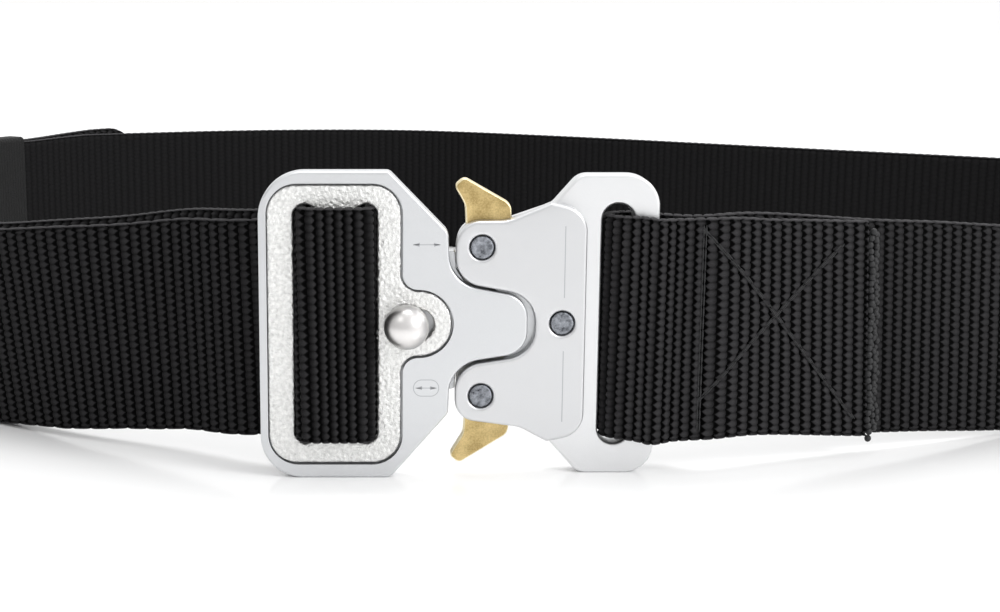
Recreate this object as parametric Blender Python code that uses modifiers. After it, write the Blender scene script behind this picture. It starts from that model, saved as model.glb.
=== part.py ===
"""Tactical belt: stiff woven webbing closed by a quick-release metal buckle, standing on its edge.

Sizes below are millimetres in the buckle's frame: X to the right, Y away from the viewer with
0 on the buckle's front face, Z up from the floor. MM turns them into Blender's metres.
"""

import math
from collections import namedtuple

import bmesh
import bpy
import numpy as np
from mathutils import Vector

MM = 0.001
GAP = 0.35

Corner = namedtuple("Corner", "x z radius")
Row = namedtuple("Row", "x y bottom")
Finish = namedtuple("Finish", "red green blue metallic roughness")

# Webbing
WEBBING_WIDTH = 45.0
WEBBING_THICKNESS = 2.6
LAYER_PITCH = WEBBING_THICKNESS + 0.3
STATION_SPACING = 9.0
FINE_SPACING = 2.2
FINE_LENGTH = 36.0
FEMALE_WRAP_STEPS = 10
MALE_WRAP_STEPS = 4
MALE_WRAP_RADIUS = 2.2
MALE_TURN_IN = 3.0
MALE_LEG_SLACK = 0.91

# Depths of the buckle's layers
MALE_BACK = 4.6
RECESS_FLOOR = 2.45
INSERT_FRONT = 0.15
INSERT_BACK = 2.15
COVER_SKIN = 2.3
COVER_BACK = 3.3
LEVER_FRONT = 2.6
LEVER_BACK = 5.2
POCKET_BACK = 5.5
WING_FRONT = 3.6
BASE_BACK = 8.1

# Female half
POCKET_LEFT = -20.0
POCKET_RIGHT = 9.2
POCKET_BOTTOM = -8.0
POCKET_TOP = 72.0
SLOT_LEFT = 20.9
SLOT_RIGHT = 27.3
SLOT_BOTTOM = 6.2
SLOT_TOP = 55.5
FEMALE_STRAP_BOTTOM = 7.95
WRAP_LEFT = 22.95

# Male half
MALE_STRAP_BOTTOM = 8.6
WINDOW_LEFT = -40.6
WINDOW_RIGHT = -24.0
WINDOW_BOTTOM = 7.2
WINDOW_TOP = 55.8
BAR_LEFT = -36.2
BAR_RIGHT = -28.4
LOBE_X = -15.7
LOBE_Z = 31.8
LOBE_RADIUS = 6.6
INSERT_SHOULDER = -19.25
WINDOW_CLEARANCE = 0.3

# Latch tongue of the male half, behind its boss
TONGUE_RIGHT = 8.5
TONGUE_TOP = 41.0
TONGUE_NECK_TOP = 42.6
TONGUE_SHELF_TOP = 46.3
TONGUE_SHELF_LEFT = -14.0

# Rivets and levers
LEVER_PIVOT_X = -3.2
UPPER_PIVOT_Z = 47.2
LOWER_PIVOT_Z = 17.0
CENTER_RIVET = (12.9, 31.9)
RIVET_RADIUS = 2.1
RIVET_HOLE_RADIUS = RIVET_RADIUS + GAP
RIVET_INSET = 0.12
RIVET_CHAMFER = 0.25
RIVET_STEPS = 20
JAW_RADIUS = 8.9
JAW_POCKET_RADIUS = JAW_RADIUS + GAP
SCOOP_END = -103.0
SCOOP_STEPS = 6

# Lock stud
STUD_X = -18.2
STUD_Z = 31.5
STUD_TRAVEL = 2.4
STUD_BALL_RADIUS = 4.5
STUD_BALL_DEPTH = -1.6
STUD_NECK_RADIUS = 2.85
STUD_FLANGE_RADIUS = 4.1
STUD_FLANGE_FRONT = 2.5
STUD_FLANGE_BACK = 3.4
STUD_POCKET_FLOOR = 3.8
STUD_SEAT = INSERT_FRONT - 0.3
STUD_BALL_ROWS = 8
STUD_STEPS = 24

# Keeper loop
KEEPER_WALL = 1.2
KEEPER_LENGTH = 26.0
KEEPER_START = 304.0
KEEPER_LIFT = KEEPER_WALL + 0.45
KEEPER_TOP_SLACK = 0.45
KEEPER_SIDE_SLACK = 0.35
KEEPER_CORNER = 1.1

# Free end, measured back along the belt from the buckle
TAIL_LENGTH = 386.0
TAIL_CORNER_RADIUS = 11.0
TAIL_STANDOFF = 5.5
TAIL_RISE = 1.3
TAIL_DROP = 0.35
TAIL_DROP_LENGTH = 150.0
TAIL_DROP_START = 12.0
TAIL_FIRST = 4.0
TAIL_CORNER_STATIONS = (1.0, 0.7, 0.4, 0.15, 0.0)

FOLD_BACK_LENGTH = 52.0
FOLD_OPEN_LENGTH = 6.4
FOLD_CLOSE_LENGTH = 9.0

# Rounding of the metal parts' edges, and how finely arcs are drawn
ARC_STEP = math.radians(15.0)
EDGE_STEPS = 1
MALE_EDGE = 0.6
INSERT_EDGE = 0.5
COVER_EDGE = 0.7
BASE_EDGE = 0.6
LEVER_EDGE = 0.45
TONGUE_EDGE = 0.2

SILVER = Finish(0.80, 0.81, 0.82, 1.0, 0.42)
CAST_SILVER = Finish(0.84, 0.84, 0.83, 1.0, 0.55)
STEEL = Finish(0.66, 0.66, 0.67, 1.0, 0.16)
RIVET_STEEL = Finish(0.36, 0.38, 0.41, 1.0, 0.45)
BRASS = Finish(0.68, 0.53, 0.24, 1.0, 0.42)
NYLON = Finish(0.012, 0.012, 0.013, 0.0, 0.72)
ELASTIC = Finish(0.014, 0.014, 0.014, 0.0, 0.85)

# Centre line of the belt's inner layer, from the female bar round the back to the male half
LOOP = [
    Row(27.2, 9.85, 7.95),
    Row(32.8, 9.85, 7.5),
    Row(36.8, 8.4, 7.3),
    Row(41.5, 6.5, 7.45),
    Row(48.5, 8.1, 7.65),
    Row(57.4, 11.7, 7.05),
    Row(80.2, 19.7, 4.6),
    Row(94.7, 25.0, 3.45),
    Row(108.7, 30.6, 2.0),
    Row(126.0, 38.6, 0.7),
    Row(151.0, 52.5, 0.0),
    Row(188.0, 80.0, 0.0),
    Row(213.0, 112.0, 0.0),
    Row(220.0, 147.0, 0.0),
    Row(207.0, 181.0, 0.0),
    Row(175.9, 207.0, 0.0),
    Row(119.5, 241.5, 0.0),
    Row(57.1, 281.0, 0.0),
    Row(22.0, 301.0, 0.0),
    Row(-11.7, 315.2, 0.0),
    Row(-39.6, 317.6, 0.0),
    Row(-80.0, 311.5, 0.0),
    Row(-117.5, 296.0, 0.2),
    Row(-150.1, 260.0, KEEPER_LIFT),
    Row(-171.0, 223.0, KEEPER_LIFT),
    Row(-183.0, 180.0, 0.0),
    Row(-182.5, 138.0, 0.0),
    Row(-168.0, 101.5, 0.0),
    Row(-141.0, 69.0, 0.0),
    Row(-107.6, 44.6, 0.8),
    Row(-93.0, 35.2, 2.8),
    Row(-76.1, 26.4, 4.8),
    Row(-62.4, 19.4, 6.9),
    Row(-54.5, 14.0, 7.4),
    Row(-47.8, 10.3, 7.8),
    Row(-42.0, 9.15, 8.3),
    Row(-38.0, 9.1, 8.6),
]

MALE_OUTLINE = [
    Corner(-47.6, 0.0, 8.5),
    Corner(-21.3, 0.0, 2.4),
    Corner(-9.7, 13.4, 2.2),
    Corner(-9.5, 23.4, 7.0),
    Corner(6.0, 25.9, 5.0),
    Corner(6.0, 37.1, 5.0),
    Corner(-9.5, 40.0, 7.0),
    Corner(-9.9, 50.3, 2.6),
    Corner(-21.6, 62.35, 1.6),
    Corner(-47.6, 62.35, 9.2),
]

MALE_WINDOW = [
    Corner(WINDOW_LEFT - WINDOW_CLEARANCE, WINDOW_BOTTOM - WINDOW_CLEARANCE, 1.5),
    Corner(WINDOW_RIGHT + WINDOW_CLEARANCE, WINDOW_BOTTOM - WINDOW_CLEARANCE, 1.5),
    Corner(WINDOW_RIGHT + WINDOW_CLEARANCE, WINDOW_TOP + WINDOW_CLEARANCE, 1.5),
    Corner(WINDOW_LEFT - WINDOW_CLEARANCE, WINDOW_TOP + WINDOW_CLEARANCE, 1.5),
]

INSERT_OUTLINE = [
    Corner(-45.9, 3.1, 5.8),
    Corner(INSERT_SHOULDER, 3.1, 5.8),
    Corner(INSERT_SHOULDER, LOBE_Z - LOBE_RADIUS, 3.4),
    Corner(LOBE_X + LOBE_RADIUS, LOBE_Z - LOBE_RADIUS, LOBE_RADIUS),
    Corner(LOBE_X + LOBE_RADIUS, LOBE_Z + LOBE_RADIUS, LOBE_RADIUS),
    Corner(INSERT_SHOULDER, LOBE_Z + LOBE_RADIUS, 3.4),
    Corner(INSERT_SHOULDER, 59.6, 5.8),
    Corner(-45.9, 59.6, 5.8),
]

COVER_OUTLINE = [
    Corner(-8.4, 12.2, 4.4),
    Corner(4.6, 10.5, 6.0),
    Corner(10.2, 7.5, 0.8),
    Corner(17.6, 9.0, 5.2),
    Corner(17.6, 54.4, 5.2),
    Corner(10.4, 56.1, 0.8),
    Corner(1.8, 52.5, 7.0),
    Corner(-8.4, 52.5, 4.9),
    Corner(-8.4, 40.2, 5.8),
    Corner(7.5, 37.3, 6.2),
    Corner(7.5, 25.5, 6.2),
    Corner(-8.4, 23.0, 5.8),
]

BASE_OUTLINE = [
    Corner(-8.0, 12.4, 4.2),
    Corner(4.6, 10.8, 6.0),
    Corner(9.8, 8.1, 3.0),
    Corner(17.0, 0.0, 3.4),
    Corner(32.35, 0.0, 5.8),
    Corner(32.35, 61.35, 6.6),
    Corner(16.2, 61.35, 3.8),
    Corner(11.0, 55.4, 3.0),
    Corner(1.8, 52.2, 7.0),
    Corner(-8.0, 52.2, 4.6),
]


def polar(radius, degrees):
    angle = math.radians(degrees)
    return radius * math.cos(angle), radius * math.sin(angle)


# Upper lever round its pivot; the lower lever is its mirror image with a longer thumb tip
LEVER_OUTLINE = [
    Corner(-3.1, 3.4, 2.0),
    Corner(-3.4, 8.4, 4.0),
    Corner(-5.55, 12.05, 1.1),
    Corner(-3.55, 13.75, 1.3),
    Corner(5.8, 8.4, 2.4),
    Corner(6.1, 2.0, 2.0),
    Corner(5.4, -2.5, 2.0),
    Corner(*polar(JAW_RADIUS, -38.0), 0.6),
    Corner(*polar(JAW_RADIUS, -58.0), 0.6),
    Corner(1.8, -4.3, 1.5),
    Corner(-4.3, -4.0, 3.6),
    Corner(-4.2, 1.0, 2.0),
]

LONG_TIP = [
    Corner(-6.2, 13.0, 1.1),
    Corner(-4.2, 14.7, 1.3),
]


def heading(start, end):
    return (Vector(end) - Vector(start)).normalized()


def rounded(corners):
    """Closed outline whose corners are rounded with arcs."""
    points = []
    for i, corner in enumerate(corners):
        here = Vector((corner.x, corner.z))
        if corner.radius == 0.0:
            points.append((corner.x, corner.z))
            continue
        before = heading(here, corners[i - 1][:2])
        after = heading(here, corners[(i + 1) % len(corners)][:2])
        half_angle = before.angle(after) / 2
        centre = here + (before + after).normalized() * corner.radius / math.sin(half_angle)
        cut = corner.radius / math.tan(half_angle)
        first = here + before * cut - centre
        last = here + after * cut - centre
        turn = first.angle_signed(last)
        steps = max(1, math.ceil(abs(turn) / ARC_STEP))
        start = math.atan2(first.y, first.x)
        for step in range(steps + 1):
            angle = start - turn * step / steps
            points.append((centre.x + corner.radius * math.cos(angle),
                           centre.y + corner.radius * math.sin(angle)))
    return points


def grown(corners, amount):
    """The same outline, run anticlockwise, moved outward by amount."""
    result = []
    for i, corner in enumerate(corners):
        here = Vector((corner.x, corner.z))
        incoming = heading(corners[i - 1][:2], here)
        outgoing = heading(here, corners[(i + 1) % len(corners)][:2])
        out_in = Vector((incoming.y, -incoming.x))
        out_out = Vector((outgoing.y, -outgoing.x))
        mitre = (out_in + out_out).normalized()
        here = here + mitre * amount / mitre.dot(out_out)
        convex = incoming.cross(outgoing) > 0
        result.append(Corner(here.x, here.y, corner.radius + (amount if convex else -amount)))
    return result


def circle(x, z, radius, steps):
    return [(x + radius * math.cos(2 * math.pi * i / steps),
             z + radius * math.sin(2 * math.pi * i / steps)) for i in range(steps)]


def stadium(left, right, bottom, top, radius):
    return rounded([Corner(left, bottom, radius), Corner(right, bottom, radius),
                    Corner(right, top, radius), Corner(left, top, radius)])


def mirrored(corners):
    """The outline turned upside down, still anticlockwise."""
    return [Corner(c.x, -c.z, c.radius) for c in reversed(corners)]


def material(name, finish):
    made = bpy.data.materials.new(name)
    made.use_nodes = True
    shader = made.node_tree.nodes["Principled BSDF"]
    shader.inputs["Base Color"].default_value = (finish.red, finish.green, finish.blue, 1.0)
    shader.inputs["Metallic"].default_value = finish.metallic
    shader.inputs["Roughness"].default_value = finish.roughness
    made.diffuse_color = (finish.red, finish.green, finish.blue, 1.0)
    return made


def closed_plate(name, outlines, front, back, rounding, collection, origin=(0.0, 0.0)):
    """Flat plate between two depths; the first outline is its edge and the others are holes."""
    curve = bpy.data.curves.new(name, "CURVE")
    curve.dimensions = "2D"
    curve.fill_mode = "BOTH"
    curve.extrude = ((back - front) / 2 - rounding) * MM
    curve.bevel_depth = rounding * MM
    curve.bevel_resolution = EDGE_STEPS
    curve.offset = -rounding * MM
    for outline in outlines:
        spline = curve.splines.new("POLY")
        spline.points.add(len(outline) - 1)
        for point, (x, z) in zip(spline.points, outline):
            point.co = (x * MM, z * MM, 0.0, 1.0)
        spline.use_cyclic_u = True
    drawn = bpy.data.objects.new(name + "_drawn", curve)
    collection.objects.link(drawn)
    bpy.context.view_layer.update()
    evaluated = drawn.evaluated_get(bpy.context.evaluated_depsgraph_get())
    mesh = bpy.data.meshes.new_from_object(evaluated)
    bpy.data.objects.remove(drawn)
    weld(mesh)
    plate = bpy.data.objects.new(name, mesh)
    collection.objects.link(plate)
    plate.rotation_euler = (math.pi / 2, 0.0, 0.0)
    plate.location = (origin[0] * MM, (front + back) / 2 * MM, origin[1] * MM)
    return plate


def weld(mesh):
    work = bmesh.new()
    work.from_mesh(mesh)
    bmesh.ops.remove_doubles(work, verts=work.verts, dist=1e-6)
    bmesh.ops.recalc_face_normals(work, faces=work.faces)
    work.to_mesh(mesh)
    work.free()


def combine(target, tool, operation):
    boolean = target.modifiers.new(operation.title(), "BOOLEAN")
    boolean.operation = operation
    boolean.solver = "EXACT"
    boolean.object = tool
    tool.hide_render = True
    tool.display_type = "WIRE"


def finish_piece(piece, shade, frame, smooth_degrees=30.0):
    piece.data.materials.clear()
    piece.data.materials.append(shade)
    piece.parent = frame
    piece.data.shade_smooth()
    piece.data.set_sharp_from_angle(angle=math.radians(smooth_degrees))


def turned(name, profile, collection, centre, steps):
    """Solid of revolution about a line along Y: profile rows are (radius, depth), axis to axis."""
    mesh = bpy.data.meshes.new(name)
    work = bmesh.new()
    verts = [work.verts.new((radius * MM, 0.0, -depth * MM)) for radius, depth in profile]
    for first, second in zip(verts, verts[1:]):
        work.edges.new((first, second))
    work.to_mesh(mesh)
    work.free()
    piece = bpy.data.objects.new(name, mesh)
    collection.objects.link(piece)
    piece.rotation_euler = (math.pi / 2, 0.0, 0.0)
    piece.location = (centre[0] * MM, 0.0, centre[1] * MM)
    screw = piece.modifiers.new("Turn", "SCREW")
    screw.steps = steps
    screw.render_steps = steps
    screw.use_merge_vertices = True
    screw.merge_threshold = 1e-6
    screw.use_normal_calculate = True
    return piece


def smooth_run(rows, spacing):
    """Stations on a natural cubic spline through the rows, closer together near its ends."""
    rows = np.array(rows, float)
    chord = np.concatenate([[0.0], np.cumsum(np.linalg.norm(np.diff(rows[:, :2], axis=0), axis=1))])
    step = np.diff(chord)
    count = len(rows)
    system = np.eye(count)
    right = np.zeros_like(rows)
    for i in range(1, count - 1):
        system[i, i - 1:i + 2] = step[i - 1], 2 * (step[i - 1] + step[i]), step[i]
        right[i] = 6 * ((rows[i + 1] - rows[i]) / step[i] - (rows[i] - rows[i - 1]) / step[i - 1])
    bend = np.linalg.solve(system, right)

    def at(distance):
        i = min(max(int(np.searchsorted(chord, distance)) - 1, 0), count - 2)
        after = distance - chord[i]
        before = step[i] - after
        return ((bend[i] * before ** 3 + bend[i + 1] * after ** 3) / (6 * step[i])
                + (rows[i] / step[i] - bend[i] * step[i] / 6) * before
                + (rows[i + 1] / step[i] - bend[i + 1] * step[i] / 6) * after)

    ends = np.arange(0.0, FINE_LENGTH, FINE_SPACING)
    middle = np.linspace(FINE_LENGTH, chord[-1] - FINE_LENGTH, round(chord[-1] / spacing))
    stations = np.array([at(distance) for distance in (*ends, *middle, *(chord[-1] - ends[::-1]))])
    stations[:, 2] = np.maximum(stations[:, 2], 0.0)
    return stations


def run_length(stations):
    return np.concatenate([[0.0], np.cumsum(np.linalg.norm(np.diff(stations[:, :2], axis=0), axis=1))])


def outward(stations):
    """Unit normals of a run in plan, pointing away from the middle of the belt."""
    along = np.gradient(stations[:, :2], axis=0)
    along /= np.linalg.norm(along, axis=1)[:, None]
    return np.column_stack([along[:, 1], -along[:, 0]])


def offset_run(stations, distance):
    moved = stations.copy()
    moved[:, :2] += outward(stations) * np.reshape(distance, (-1, 1))
    return moved


def sweep(centre, radii, start, end, bottom, steps):
    """Stations on an elliptical arc in plan, angles in degrees."""
    angles = np.radians(np.linspace(start, end, steps + 1))
    return np.column_stack([centre[0] + radii[0] * np.cos(angles), centre[1] + radii[1] * np.sin(angles),
                            np.full(steps + 1, bottom)])


def ease(value):
    value = np.clip(value, 0.0, 1.0)
    return value * value * (3 - 2 * value)


def fold_back(loop):
    """The strap's sewn end: back along the front of the loop from its own cut edge to the bar."""
    length = run_length(loop)
    part = loop[length <= FOLD_BACK_LENGTH]
    along = length[:len(part)]
    wide = 2 * wrap_height()
    distance = LAYER_PITCH + (wide - LAYER_PITCH) * (1 - ease((along - FOLD_OPEN_LENGTH) / FOLD_CLOSE_LENGTH))
    return offset_run(part, distance)[::-1]


def wrap_height():
    front = WING_FRONT - GAP - WEBBING_THICKNESS / 2
    return (LOOP[0].y - front) / 2


def female_wrap():
    centre = (LOOP[0].x, LOOP[0].y - wrap_height())
    arc = sweep(centre, (centre[0] - WRAP_LEFT, wrap_height()), 270.0, 90.0, FEMALE_STRAP_BOTTOM,
                FEMALE_WRAP_STEPS)
    return arc[1:-1]


def male_wrap():
    """From the inner layer, forward through the right slot, over the bar and back through the left."""
    reach = GAP + WEBBING_THICKNESS / 2
    radius = MALE_WRAP_RADIUS
    right = BAR_RIGHT + reach + MALE_LEG_SLACK
    left = BAR_LEFT - reach - MALE_LEG_SLACK
    front = INSERT_FRONT - reach
    inner = LOOP[-1].y
    outer = inner - LAYER_PITCH

    def turn(x, y, size, start, end):
        return sweep((x, y), (size, size), start, end, MALE_STRAP_BOTTOM, MALE_WRAP_STEPS)

    return np.vstack([
        turn(right - MALE_TURN_IN, inner - MALE_TURN_IN, MALE_TURN_IN, 90.0, 0.0),
        turn(right - radius, front + radius, radius, 0.0, -90.0),
        turn(left + radius, front + radius, radius, 270.0, 180.0),
        turn(left - radius, outer - radius, radius, 0.0, 90.0),
    ])


def tail(loop):
    """The free end: outside the loop, from the male half round to the back left."""
    back = loop[::-1]
    length = run_length(back)
    kept = (length > TAIL_FIRST) & (length < TAIL_LENGTH - TAIL_CORNER_RADIUS)
    keeper_end = KEEPER_START + KEEPER_LENGTH
    corner = TAIL_LENGTH - TAIL_CORNER_RADIUS * np.array(TAIL_CORNER_STATIONS)
    along = np.append(length[kept], corner)
    base = np.column_stack([np.interp(along, length, back[:, i]) for i in range(3)])
    free = ease((along - keeper_end) / (TAIL_LENGTH - keeper_end))
    moved = offset_run(base[::-1], LAYER_PITCH + TAIL_STANDOFF * free[::-1])[::-1]
    drop = TAIL_DROP * ease(along / TAIL_DROP_START) * (1 - ease(along / TAIL_DROP_LENGTH))
    moved[:, 2] = np.maximum(moved[:, 2] - drop, 0.0) + TAIL_RISE * free
    return moved, TAIL_LENGTH - along


def webbing_strip(loop):
    """Lower and upper edge of the strap's middle surface, from the sewn end to the free end."""
    tail_run, from_end = tail(loop)
    path = np.vstack([fold_back(loop), female_wrap(), loop, male_wrap(), tail_run])
    inset = np.zeros(len(path))
    near = np.clip(TAIL_CORNER_RADIUS - from_end, 0.0, None)
    inset[-len(tail_run):] = TAIL_CORNER_RADIUS - np.sqrt(TAIL_CORNER_RADIUS ** 2 - near ** 2)
    lower = path.copy()
    lower[:, 2] += inset
    upper = path.copy()
    upper[:, 2] += WEBBING_WIDTH - inset
    return lower, upper


def webbing(collection, loop):
    lower, upper = webbing_strip(loop)
    mesh = bpy.data.meshes.new("webbing")
    work = bmesh.new()
    rows = [[work.verts.new(Vector(point) * MM) for point in edge] for edge in (lower, upper)]
    for i in range(len(lower) - 1):
        work.faces.new((rows[0][i], rows[0][i + 1], rows[1][i + 1], rows[1][i]))
    work.to_mesh(mesh)
    work.free()
    piece = bpy.data.objects.new("webbing", mesh)
    collection.objects.link(piece)
    wall = piece.modifiers.new("Thickness", "SOLIDIFY")
    wall.thickness = WEBBING_THICKNESS * MM
    wall.offset = 0.0
    wall.use_even_offset = True
    return piece


def keeper(collection, loop):
    """Elastic loop round both layers of the strap."""
    back = loop[::-1]
    length = run_length(back)
    along = np.linspace(KEEPER_START, KEEPER_START + KEEPER_LENGTH, 5)
    centre = np.column_stack([np.interp(along, length, back[:, i]) for i in range(2)])
    middle = np.column_stack([centre, np.zeros(len(along))])[::-1]
    normal = outward(middle)
    half_depth = (LAYER_PITCH + WEBBING_THICKNESS + KEEPER_WALL) / 2 + KEEPER_SIDE_SLACK
    floor = KEEPER_WALL / 2
    top = KEEPER_LIFT + WEBBING_WIDTH + KEEPER_TOP_SLACK + KEEPER_WALL / 2
    section = stadium(-half_depth, half_depth, floor, top, KEEPER_CORNER)
    mesh = bpy.data.meshes.new("keeper")
    work = bmesh.new()
    rings = []
    for point, away in zip(middle, normal):
        rings.append([work.verts.new(Vector((point[0] + away[0] * (LAYER_PITCH / 2 + across),
                                             point[1] + away[1] * (LAYER_PITCH / 2 + across), height)) * MM)
                      for across, height in section])
    for ring, following in zip(rings, rings[1:]):
        for i in range(len(ring)):
            j = (i + 1) % len(ring)
            work.faces.new((ring[i], ring[j], following[j], following[i]))
    bmesh.ops.recalc_face_normals(work, faces=work.faces)
    work.to_mesh(mesh)
    work.free()
    piece = bpy.data.objects.new("keeper", mesh)
    collection.objects.link(piece)
    wall = piece.modifiers.new("Thickness", "SOLIDIFY")
    wall.thickness = KEEPER_WALL * MM
    wall.offset = 0.0
    wall.use_even_offset = True
    return piece


def under_tongue_outline():
    """Latch tongue behind the boss: each flank is scooped on an arc about its lever's pivot."""
    middle = (UPPER_PIVOT_Z + LOWER_PIVOT_Z) / 2
    first = -math.degrees(math.asin((UPPER_PIVOT_Z - TONGUE_TOP) / JAW_POCKET_RADIUS))
    upper = [Corner(TONGUE_RIGHT, TONGUE_TOP, 1.2)]
    for degrees in np.linspace(first, SCOOP_END, SCOOP_STEPS):
        x, z = polar(JAW_POCKET_RADIUS, degrees)
        upper.append(Corner(LEVER_PIVOT_X + x, UPPER_PIVOT_Z + z, 0.0))
    upper += [Corner(-8.2, TONGUE_NECK_TOP, 0.0), Corner(-8.4, TONGUE_SHELF_TOP, 0.6),
              Corner(TONGUE_SHELF_LEFT, TONGUE_SHELF_TOP, 0.0)]
    lower = [Corner(c.x, 2 * middle - c.z, c.radius) for c in reversed(upper)]
    return upper + lower


def male_plate(collection, cutters):
    piece = closed_plate("male_plate", [rounded(MALE_OUTLINE)], 0.0, MALE_BACK, MALE_EDGE, collection)
    window = closed_plate("cut_window", [rounded(MALE_WINDOW)], -2.0, MALE_BACK + 2.0, 0.0, cutters)
    tongue = closed_plate("cut_tongue", [rounded(under_tongue_outline())], LEVER_FRONT, LEVER_BACK,
                          TONGUE_EDGE, cutters)
    recess = closed_plate("cut_recess", [rounded(grown(INSERT_OUTLINE, GAP))], -2.0, RECESS_FLOOR,
                          0.0, cutters)
    pocket = closed_plate(
        "cut_pocket",
        [stadium(STUD_X - STUD_FLANGE_RADIUS - GAP, STUD_X + STUD_TRAVEL + STUD_FLANGE_RADIUS + GAP,
                 STUD_Z - STUD_FLANGE_RADIUS - GAP, STUD_Z + STUD_FLANGE_RADIUS + GAP,
                 STUD_FLANGE_RADIUS + GAP - 0.01)], 1.0, STUD_POCKET_FLOOR, 0.0, cutters)
    combine(piece, tongue, "UNION")
    for cutter in (window, recess, pocket):
        combine(piece, cutter, "DIFFERENCE")
    return piece


def insert_frame(collection):
    slot_radius = (BAR_LEFT - WINDOW_LEFT) / 2 - 0.01
    left = stadium(WINDOW_LEFT, BAR_LEFT, WINDOW_BOTTOM, WINDOW_TOP, slot_radius)
    right = stadium(BAR_RIGHT, WINDOW_RIGHT, WINDOW_BOTTOM, WINDOW_TOP, slot_radius)
    hole_radius = STUD_NECK_RADIUS + GAP
    stud_slot = stadium(STUD_X - hole_radius, STUD_X + STUD_TRAVEL + hole_radius,
                        STUD_Z - hole_radius, STUD_Z + hole_radius, hole_radius - 0.01)
    return closed_plate("insert_frame", [rounded(INSERT_OUTLINE), left, right, stud_slot],
                        INSERT_FRONT, INSERT_BACK, INSERT_EDGE, collection)


def lock_stud(collection):
    """Ball-headed stud with a neck through the insert and a flange in the pocket behind it."""
    opening = math.acos((STUD_SEAT - STUD_BALL_DEPTH) / STUD_BALL_RADIUS)
    profile = [(0.0, STUD_BALL_DEPTH - STUD_BALL_RADIUS)]
    for angle in np.linspace(math.pi, opening, STUD_BALL_ROWS + 1)[1:]:
        profile.append((STUD_BALL_RADIUS * math.sin(angle),
                        STUD_BALL_DEPTH + STUD_BALL_RADIUS * math.cos(angle)))
    profile += [(STUD_NECK_RADIUS, STUD_SEAT), (STUD_NECK_RADIUS, STUD_FLANGE_FRONT),
                (STUD_FLANGE_RADIUS, STUD_FLANGE_FRONT), (STUD_FLANGE_RADIUS, STUD_FLANGE_BACK),
                (0.0, STUD_FLANGE_BACK)]
    return turned("lock_stud", profile, collection, (STUD_X, STUD_Z), STUD_STEPS)


def rivet(name, collection, centre):
    edge = RIVET_RADIUS - RIVET_CHAMFER
    profile = [(0.0, RIVET_INSET), (edge, RIVET_INSET), (RIVET_RADIUS, RIVET_INSET + RIVET_CHAMFER),
               (RIVET_RADIUS, BASE_BACK - RIVET_CHAMFER), (edge, BASE_BACK), (0.0, BASE_BACK)]
    return turned(name, profile, collection, centre, RIVET_STEPS)


def rivet_centres():
    return {"upper": (LEVER_PIVOT_X, UPPER_PIVOT_Z), "lower": (LEVER_PIVOT_X, LOWER_PIVOT_Z),
            "center": CENTER_RIVET}


def rivet_holes():
    return [circle(x, z, RIVET_HOLE_RADIUS, RIVET_STEPS) for x, z in rivet_centres().values()]


def pocket_box(name, front, back, cutters):
    """Cutter that clears the space where the levers and the tongue lie."""
    bpy.ops.mesh.primitive_cube_add(size=1.0)
    box = bpy.context.object
    box.name = name
    box.data.name = name
    for holder in list(box.users_collection):
        holder.objects.unlink(box)
    cutters.objects.link(box)
    low = Vector((POCKET_LEFT, front, POCKET_BOTTOM)) * MM
    high = Vector((POCKET_RIGHT, back, POCKET_TOP)) * MM
    box.scale = high - low
    box.location = (low + high) / 2
    return box


def female_cover(collection, cutters):
    piece = closed_plate("female_cover", [rounded(COVER_OUTLINE)] + rivet_holes(), 0.0, COVER_BACK,
                         COVER_EDGE, collection)
    combine(piece, pocket_box("cut_cover_pocket", COVER_SKIN, COVER_BACK + 1.0, cutters), "DIFFERENCE")
    return piece


def female_base(collection, cutters):
    slot = stadium(SLOT_LEFT, SLOT_RIGHT, SLOT_BOTTOM, SLOT_TOP, (SLOT_RIGHT - SLOT_LEFT) / 2 - 0.01)
    piece = closed_plate("female_base", [rounded(BASE_OUTLINE), slot] + rivet_holes(), WING_FRONT,
                         BASE_BACK, BASE_EDGE, collection)
    combine(piece, pocket_box("cut_base_pocket", WING_FRONT - 1.0, POCKET_BACK, cutters), "DIFFERENCE")
    return piece


def lever(name, corners, pivot, collection):
    outline = rounded(corners)
    hole = circle(0.0, 0.0, RIVET_HOLE_RADIUS, RIVET_STEPS)
    return closed_plate(name, [outline, hole], LEVER_FRONT, LEVER_BACK, LEVER_EDGE, collection,
                        origin=pivot)


def extent_centre(loop):
    """Middle of the belt's bounding box in plan, from the outer face of the strap to the stud."""
    lower, _ = webbing_strip(loop)
    half = WEBBING_THICKNESS / 2
    nearest = STUD_BALL_DEPTH - STUD_BALL_RADIUS
    left, right = lower[:, 0].min() - half, lower[:, 0].max() + half
    return (left + right) / 2, (nearest + lower[:, 1].max() + half) / 2


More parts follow.
